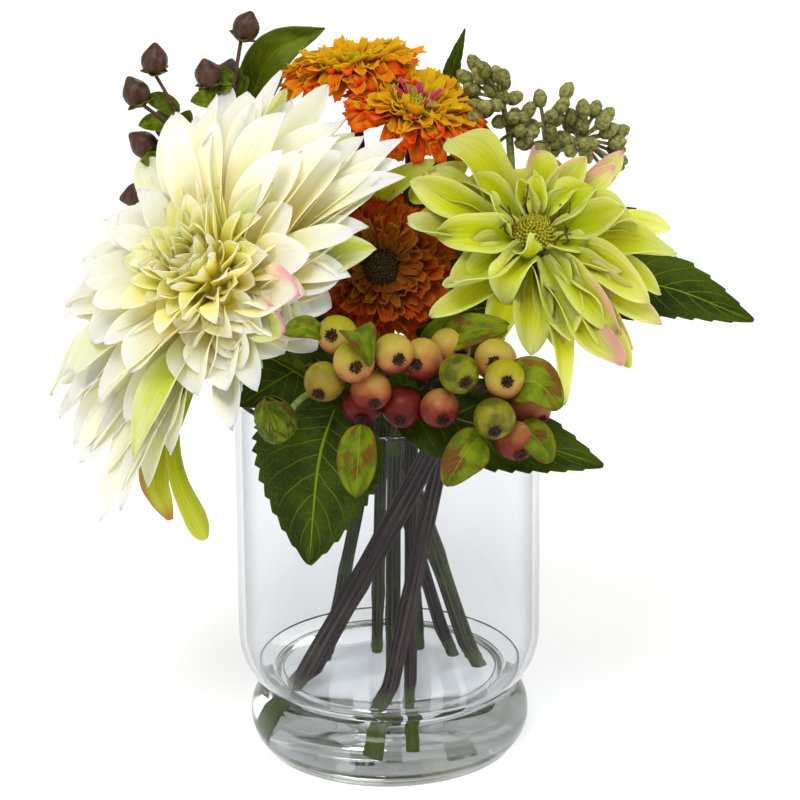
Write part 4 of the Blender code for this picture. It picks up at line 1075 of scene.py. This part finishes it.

# %% [markdown]
# Berries are glossy-satin balls on short twigs.  Each has a dent at its outer end that holds a dry,
# jagged calyx.  Its colour runs from olive at the top to dark red underneath: partly how ripe the
# berry is, and partly painted shade on the underside.  A few stay olive.

# %% Berries
BERRY_SIZE = 0.0084
BERRY_SPRIGS = {  # root, fork and fruits in percent of the node's box; a fruit has ripeness and olive
    "berries_left": ((77, 97, 33), (53, 68, 44), [
        (30, 68, 83, 0.05, 0), (46, 21, 69, 0.10, 0), (84, 33, 74, 0.15, 0), (17, 44, 43, 0.20, 0.6),
        (62, 33, 37, 0.35, 0), (53, 56, 16, 0.75, 0)]),
    "berries_middle": ((37, 91, 35), (49, 59, 46), [
        (41, 55, 77, 0.28, 0), (72, 82, 80, 0.20, 0), (81, 18, 73, 0.05, 1), (19, 47, 20, 0.72, 0),
        (60, 29, 25, 0.42, 0)]),
    "berries_right": ((2, 97, 53), (42, 69, 55), [
        (46, 69, 84, 0.18, 0), (55, 41, 74, 0.02, 0), (44, 19, 43, 0.15, 0.9), (82, 75, 36, 0.30, 0),
        (66, 38, 16, 0.45, 0)])}


def turned_to(direction, place):
    return Matrix.Translation(place) @ Vector(direction).to_track_quat("Z", "Y").to_matrix().to_4x4()


def twig(bm, start, end, bend, steps, radius, sides):
    """A stalk between two points, whose middle is pushed aside by bend."""
    tube(bm, smooth_route([start, (start + end) / 2 + Vector(bend), end], steps), radius, sides=sides)


def berry(bm, place, axis, size, ripe, olive, dice):
    tints = bm.verts.layers.float_vector["tint"]
    made = bmesh.ops.create_uvsphere(bm, u_segments=24, v_segments=16, radius=1.0)["verts"]
    matrix = turned_to(axis, place)
    for vertex in made:
        x, y, z = vertex.co
        dent = 0.16 * math.exp(-((1 - z) / 0.10)) + 0.10 * math.exp(-((1 + z) / 0.08))
        around = math.atan2(y, x)
        swell = size * (1.0 + 0.015 * math.sin(3 * around + ripe * 9))
        vertex.co = matrix @ Vector((x * swell, y * swell, (z - math.copysign(dent, z)) * swell * 0.98))
        # Painted shade: the underside is pushed towards dark red, on top of how ripe the berry is.
        below = 0.5 - 0.5 * (vertex.co - place).z / size
        ripeness_and_shade = ripe - 0.10 + 0.62 * max(0.0, below) ** 1.3 + 0.12 * max(0.0, -z)
        vertex[tints] = (min(1.0, ripeness_and_shade), olive, dice.random())


CALYX_TEETH, CALYX_RADIUS = 26, 0.0024


def calyx(bm, place, axis, size, dice):
    """Dry jagged sepals in the berry's dent: short cones that lean every way."""
    tints = bm.verts.layers.float_vector["tint"]
    matrix = turned_to(axis, place)
    for i in range(CALYX_TEETH):
        around, out = i * 2.4, 0.0002 + CALYX_RADIUS * math.sqrt((i + 0.5) / CALYX_TEETH)
        made = bmesh.ops.create_cone(bm, cap_ends=True, segments=4, radius1=0.00062, radius2=0.00005,
                                     depth=dice.uniform(0.0014, 0.0036))["verts"]
        hinge = Vector((-math.sin(around), math.cos(around), 0))
        lean = Matrix.Rotation(dice.uniform(-0.2, 1.1), 4, hinge)
        spot = Vector((out * math.cos(around), out * math.sin(around), size * 0.87 + 0.0004))
        for vertex in made:
            vertex.co = matrix @ (Matrix.Translation(spot) @ lean @ vertex.co)
            vertex[tints] = (dice.random(), 0.0, 0.0)


dice = random.Random(12)
for node, (root, fork, fruits) in BERRY_SPRIGS.items():
    skin, dry, wood = new_solid_bmesh(), new_solid_bmesh(), new_solid_bmesh()
    start, knot = inside(node, root), inside(node, fork)
    twig(wood, start, knot, (0, 0, 0.0008), 6, 0.0013, 8)
    for *percent, ripe, olive in fruits:
        place = inside(node, percent)
        out = (place - knot).normalized()
        swing = Vector([dice.uniform(-0.35, 0.35) for _ in range(3)])
        axis = (out + Vector((0.1, -1.4, -0.55)) + swing).normalized()
        berry(skin, place, axis, BERRY_SIZE * dice.uniform(0.96, 1.04), ripe, olive, dice)
        calyx(dry, place, axis, BERRY_SIZE, dice)
        twig(wood, knot, place, (0, 0.001, 0), 5, 0.0008, 6)
    finish_piece(skin, node + "_fruit", BERRY, [node], merge=False)
    finish_piece(dry, node + "_calyxes", TUFT, merge=False)
    finish_piece(wood, node + "_twigs", TWIG, merge=False)

# %% [markdown]
# Small lime leaves grow among the berries.  They have no solids of their own, so they are placed in
# percent of the berry sprigs' boxes, and some lie just outside 0 to 100.

# %% Berry leaves
BERRY_LEAVES = [  # node, route in percent of its box, facing, width
    ("berries_left", [(42, 30, 95), (52, 2, 100), (62, 2, 70)], (0.2, -0.5, 0.9), 14),
    ("berries_left", [(52, 25, 5), (50, 2, -22), (46, 5, -62)], (-0.3, -0.9, 0.2), 17),
    ("berries_left", [(15, 60, 85), (0, 50, 95), (-22, 60, 88)], (0, -0.7, 0.7), 10),
    ("berries_right", [(30, 30, 25), (12, 5, 12), (-5, 5, -16)], (0.3, -0.9, 0.2), 18),
    ("berries_right", [(60, 50, 62), (85, 35, 72), (112, 45, 45)], (0.1, -0.8, 0.6), 19),
    ("berries_right", [(70, 45, 30), (88, 25, 20), (102, 30, -2)], (0.2, -0.9, 0.3), 13),
    ("berries_middle", [(60, 90, 80), (95, 70, 105), (140, 75, 110)], (0, -0.7, 0.7), 15)]
bm = new_sheet_bmesh()
for number, (node, route, facing, width) in enumerate(BERRY_LEAVES):
    blade(bm, [inside(node, p) for p in route], facing, width * MM, fold=0.30, wave=0.14, quilt=0.0003,
          outline=round_outline, mesh=(10, 20), tint=(0.0, 0.0, (number * 0.41) % 1.0))
finish_piece(bm, "berry_leaves", BERRY_LEAF, thickness=THIN_CLOTH)

# %% [markdown]
# The closed bud is a ball hugged by five rings of broad sepals.

# %% Bud
BUD_FOOT = inside("bud", (30.2, 40.1, 50)) + Vector(metres((4, -4, -7)))
BUD_HEAD = Matrix.Translation(BUD_FOOT) @ Matrix.Rotation(0.5, 4, "X") @ Matrix.Rotation(-0.2, 4, "Y")
BUD_RINGS = [  # tip, half width, arch
    ((1, 20), 6.4, -1.15), ((1.6, 19), 6.2, -1.22), ((3, 17.2), 6, -1.22), ((5, 14), 5.6, -1.15),
    ((7.4, 9.5), 5, -1)]
dice = random.Random(9)
bm = new_sheet_bmesh()
for ring, (tip, width, arch) in enumerate(BUD_RINGS):
    hub = metres((3.6 + 0.3 * ring, 0.4 - 0.2 * ring))
    whorl(bm, BUD_HEAD, dice, 5, lambda angle, tip=tip: Vector(metres(tip)), hub, width * MM,
          ring * 30, arch, cup=0.45, fold=0.10, ripple=0.08, outline=broad, mesh=(8, 10))
finish_piece(bm, "bud_sepals", SEPAL, ["bud"], LEAF_CLOTH)
bm = new_solid_bmesh()
egg(bm, BUD_HEAD, 0.0066, 0.0084, 0.0088, 16)
stalk = [inside("bud", (96, 91.5, 75)), inside("bud", (70, 70, 55)), BUD_FOOT]
tube(bm, smooth_route(stalk, 8), 0.0014)
finish_piece(bm, "bud_core_and_stalk", GREEN_TWIG, merge=False)

# %% [markdown]
# Hypericum carries dark three-grooved pods with a thin beak, each sitting in a ruff of small green
# sepals.  A pod is a ball drawn out along its axis.


# %% Hypericum pods
POD_RADIUS, POD_LENGTH, POD_GROOVES, GROOVE_DEPTH, BEAK = 0.0060, 0.0066, 3, 0.12, 0.20


def pod(bm, place, axis, dice):
    tints = bm.verts.layers.float_vector["tint"]
    matrix, tone = turned_to(axis, place), dice.random()
    for vertex in bmesh.ops.create_uvsphere(bm, u_segments=24, v_segments=14, radius=1.0)["verts"]:
        x, y, z = vertex.co
        groove = abs(math.cos(math.atan2(y, x) * POD_GROOVES / 2)) ** 6 * (1 - z * z)
        wide = POD_RADIUS * (1.0 - GROOVE_DEPTH * groove) * (1.0 - 0.28 * max(0.0, z) ** 2)
        high = z + BEAK * max(0.0, (z - 0.72) / 0.28) ** 2
        vertex.co = matrix @ Vector((x * wide, y * wide, high * POD_LENGTH))
        vertex[tints] = (tone * 0.6, 0.0, tone)


def ruff(bm, place, axis, dice):
    """Five sepals round the foot of a pod, each a petal in a head frame of its own."""
    head, count, length = turned_to(axis, place), 5, 0.0072
    for i in range(count):
        angle = i * 360 / count + dice.uniform(-12, 12)
        petal(bm, head, angle, (0.0007, 0.0), (length * 0.9, length * dice.uniform(0.1, 0.5)), 0.0024,
              arch=-0.3, cup=0.5, fold=0.2, twist=dice.uniform(-0.4, 0.4), outline=broad, mesh=(4, 6),
              tint=(0.0, 0.0, dice.random()))


HYPERICUM = {  # root, fork and pods in percent of the node's box
    "hypericum_left": ((98, 3, 22), (61, 75, 39), [(30, 54, 92), (14, 54, 73), (45, 83, 29), (18, 83, 39),
                                                   (11, 83, 8), (38, 83, 50)]),
    "hypericum_right": ((74, 4, 1), (51, 54, 30), [(20, 46, 61), (49, 82, 56), (82, 46, 91)])}
dice = random.Random(23)
for node, (root, fork, fruits) in HYPERICUM.items():
    skin, ruffs, wood = new_solid_bmesh(), new_sheet_bmesh(), new_solid_bmesh()
    start, knot = inside(node, root), inside(node, fork)
    twig(wood, start, knot, (0, 0.002, 0), 8, 0.0013, 8)
    for percent in fruits:
        place = inside(node, percent)
        axis = (place - knot).normalized() + Vector((dice.uniform(-0.5, 0.5), dice.uniform(-0.6, 0.2), 0.5))
        foot = place - axis.normalized() * 0.0058
        pod(skin, place, axis, dice)
        ruff(ruffs, foot, axis, dice)
        twig(wood, knot, foot, (0, -0.002, 0.001), 8, 0.00085, 6)
    for i in range(9):
        along = (i % 5 + 0.6) / 5
        spot = start.lerp(knot, along) if i < 3 else knot.lerp(inside(node, fruits[i % len(fruits)]), 0.4)
        out = Vector((dice.uniform(-1, 0.6), dice.uniform(-0.8, 0.6), dice.uniform(-0.2, 1))).normalized()
        route = [spot, spot + out * 0.008 + Vector((0, 0, 0.001)), spot + out * 0.016]
        blade(ruffs, route, (0.1, -0.8, 0.5), 0.0085, fold=0.3, wave=0.1, quilt=0.0002,
              outline=round_outline, mesh=(8, 12), tint=(0, 0, dice.random()))
    finish_piece(skin, node + "_pods", POD, [node], merge=False)
    finish_piece(ruffs, node + "_sepals", SMOOTH_LEAF, thickness=FLORET_CLOTH)
    finish_piece(wood, node + "_twigs", TWIG, merge=False)

# %% [markdown]
# Eucalyptus seed heads are tight clusters of small ribbed acorns with flat caps on thick stalks.
# The frame holds twenty; here more are added near them, each kept clear of the rest.

# %% Eucalyptus seeds
EUCALYPTUS = {  # as in HYPERICUM
    "eucalyptus_left": ((66, 41, 1), (63, 63, 36), [
        (45, 74, 92), (11, 74, 78), (38, 85, 76), (70, 63, 71), (29, 85, 56), (49, 41, 51), (90, 74, 58),
        (36, 30, 27), (76, 19, 45)]),
    "eucalyptus_right": ((2, 33, 8), (27, 69, 33), [
        (20, 82, 91), (40, 82, 83), (59, 69, 63), (82, 69, 56), (92, 69, 26), (80, 57, 18), (29, 45, 58),
        (47, 45, 48), (62, 57, 33), (49, 69, 8), (18, 20, 43)])}
ACORN = [  # half section, from the stalk to the cap
    (0.24, -1.0), (0.66, -0.78), (0.94, -0.35), (1.0, 0.05), (0.86, 0.40), (0.78, 0.50), (0.84, 0.58),
    (0.60, 0.80), (0.20, 1.05)]
ACORN_RADIUS, ACORN_LENGTH = 0.0030, 0.0041
SEEDS_PER_SOLID, SEED_GAP = 3.2, 0.0058


def acorn(bm, place, axis, dice):
    tints = bm.verts.layers.float_vector["tint"]
    matrix, tone = turned_to(axis, place), dice.random()
    foot = ACORN[0][0]
    made = bmesh.ops.create_cone(bm, cap_ends=True, segments=18, radius1=foot, radius2=foot, depth=0.02)
    verts = set(made["verts"])
    face = max({f for v in verts for f in v.link_faces}, key=lambda f: f.calc_center_median().z)
    for spot in verts:
        spot.co.z = -0.98 if spot in face.verts[:] else -1.0
    for wide, high in ACORN[1:]:
        face = bmesh.ops.extrude_discrete_faces(bm, faces=[face])["faces"][0]
        before = face.verts[0].co.xy.length
        for spot in face.verts:
            spot.co = (spot.co.x * wide / before, spot.co.y * wide / before, high)
        verts |= set(face.verts)
    for vertex in verts:
        x, y, z = vertex.co
        wide = ACORN_RADIUS * (1.0 + 0.09 * math.cos(6 * math.atan2(y, x)) * max(0.0, 1 - z * z))
        vertex.co = matrix @ Vector((x * wide, y * wide, z * ACORN_LENGTH))
        vertex[tints] = (tone, 0.0, tone)


dice = random.Random(31)
for node, (root, fork, fruits) in EUCALYPTUS.items():
    low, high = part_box(node)
    start, knot = inside(node, root), inside(node, fork)
    places = [inside(node, percent) for percent in fruits]
    for _ in range(2500):
        if len(places) >= len(fruits) * SEEDS_PER_SOLID:
            break
        near = places[dice.randrange(len(places))]
        step = Vector([dice.uniform(-1, 1) for _ in range(3)]).normalized() * dice.uniform(0.0056, 0.0075)
        spot = near + step
        clear = all((spot - other).length > SEED_GAP for other in places)
        within = low.x < spot.x < high.x and low.z + 0.006 < spot.z < high.z
        if clear and within and low.y - 0.006 < spot.y < high.y + 0.006:
            places.append(spot)
    skin, wood = new_solid_bmesh(), new_solid_bmesh()
    twig(wood, start, knot, (0, 0, 0.001), 8, 0.0016, 8)
    hubs = [knot] + [knot.lerp(inside(node, percent), 0.55) for percent in fruits[::3]]
    for hub in hubs[1:]:
        twig(wood, knot, hub, (0, -0.001, 0), 6, 0.0013, 6)
    for place in places:
        hub = min(hubs, key=lambda h: (h - place).length)
        axis = (place - hub).normalized() + Vector((0, -0.25, 0.25))
        acorn(skin, place, axis, dice)
        twig(wood, hub, place - axis.normalized() * 0.0036, (0, 0.0008, 0.0004), 5, 0.0008, 5)
    finish_piece(skin, node + "_seeds", SEED, [node], merge=False)
    finish_piece(wood, node + "_stalks", SEED, merge=False)

# %% [markdown]
# The vase is blown glass: a plain cylinder on a rounded shoulder, a narrow neck and a thick foot
# ring.  Half its section is drawn as a line of corners and spun once round the axis.  The same is
# done for the water, whose wall runs just inside the glass so that no film of air shows between.


# %% Vase and water
def arc(centre, radii, start, end, count):
    turns = [math.radians(start + (end - start) * step / count) for step in range(count + 1)]
    return [(centre[0] + radii[0] * math.cos(t), centre[1] + radii[1] * math.sin(t)) for t in turns]


def spun(profile):
    """A closed solid from its half section, which starts and ends on the axis."""
    bm = new_solid_bmesh()
    corners = [bm.verts.new((r, 0.0, z)) for r, z in profile]
    edges = [bm.edges.new(pair) for pair in zip(corners, corners[1:])]
    bmesh.ops.spin(bm, geom=corners + edges, cent=(0, 0, 0), axis=(0, 0, 1), dvec=(0, 0, 0),
                   angle=math.tau, steps=112, use_merge=True)
    bmesh.ops.remove_doubles(bm, verts=bm.verts, dist=1e-6)
    bmesh.ops.recalc_face_normals(bm, faces=bm.faces)
    return bm


vase_low, vase_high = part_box("vase")
VASE_RADIUS, VASE_TOP = (vase_high.x - vase_low.x) / 2, vase_high.z
WALL, NECK_RADIUS, NECK_HEIGHT, NECK_ROUND = 0.0030, 0.0495, 0.0285, 0.0024
SHOULDER, SHOULDER_DEPTH = 0.0510, 0.0148
FOOT_RING, FOOT_HEIGHT, FOOT_ROUND, FOOT_RADIUS = 0.0596, 0.0130, 0.0095, 0.0540
RIM_ROUND, FILM = 0.0015, 0.00015
WATER_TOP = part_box("water")[1].z


def wall(inset):
    """The outer side from the rim down to the foot, moved inwards."""
    rings = [VASE_TOP - RIM_ROUND, VASE_TOP - 0.0025, VASE_TOP - 0.0050, 0.110, 0.056, 0.053]
    side = [(VASE_RADIUS - inset, high) for high in rings]
    shoulder = arc((VASE_RADIUS - SHOULDER_DEPTH - inset, SHOULDER),
                   (SHOULDER_DEPTH, SHOULDER - NECK_HEIGHT), 0, -86, 16)
    neck = arc((NECK_RADIUS + NECK_ROUND - inset, NECK_HEIGHT), (NECK_ROUND, 0.0030), 170, 245, 6)
    foot = arc((FOOT_RING - FOOT_ROUND, FOOT_HEIGHT), (FOOT_ROUND - inset, FOOT_HEIGHT - inset),
               62, -62, 16)
    return side + shoulder + neck + foot


inner = [p for p in wall(WALL) if p[1] > FLOOR_GLASS + 0.001]
rim = arc((VASE_RADIUS - WALL / 2, VASE_TOP - RIM_ROUND), (WALL / 2, RIM_ROUND), 165, 15, 6)
half = [(0.0, FLOOR_GLASS), (inner[-1][0] - 0.004, FLOOR_GLASS)] + inner[::-1] + rim + wall(0.0)
half += [(FOOT_RADIUS, 0.0), (0.0, 0.0)]
finish_piece(spun(half), "glass_vase", GLASS, ["vase"], merge=False)
within = [p for p in wall(WALL - FILM) if FLOOR_GLASS + 0.0008 < p[1] < WATER_TOP]
surface = [(0.0, WATER_TOP), (within[0][0] - 0.0006, WATER_TOP), (within[0][0], WATER_TOP + 0.0005)]
half = surface + within + [(within[-1][0] - 0.0042, FLOOR_GLASS - FILM), (0.0, FLOOR_GLASS - FILM)]
finish_piece(spun(half), "water_body", WATER, ["water"], merge=False)

# %% [markdown]
# The receptacles that hold the petals are right as they are: small turned solids, mostly hidden.
# They stay as CAD nodes and only get the green finish of a calyx.

# %% Receptacles
for key in ("white_dahlia", "green_dahlia", "gerbera_back", "gerbera_middle", "gerbera_front"):
    for each in nodes[f"{key}_receptacle"].material_slots:
        each.material = GREEN_TWIG
print("receptacles are green")

# %% [markdown]
# Last, the finished model's box is measured beside the frame's, so that the two can be compared.

# %% Sizes and finish
low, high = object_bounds()
print("frame", [round(v, 4) for v in (*cad_low, *cad_high)])
print("model", [round(v, 4) for v in (*low, *high)])
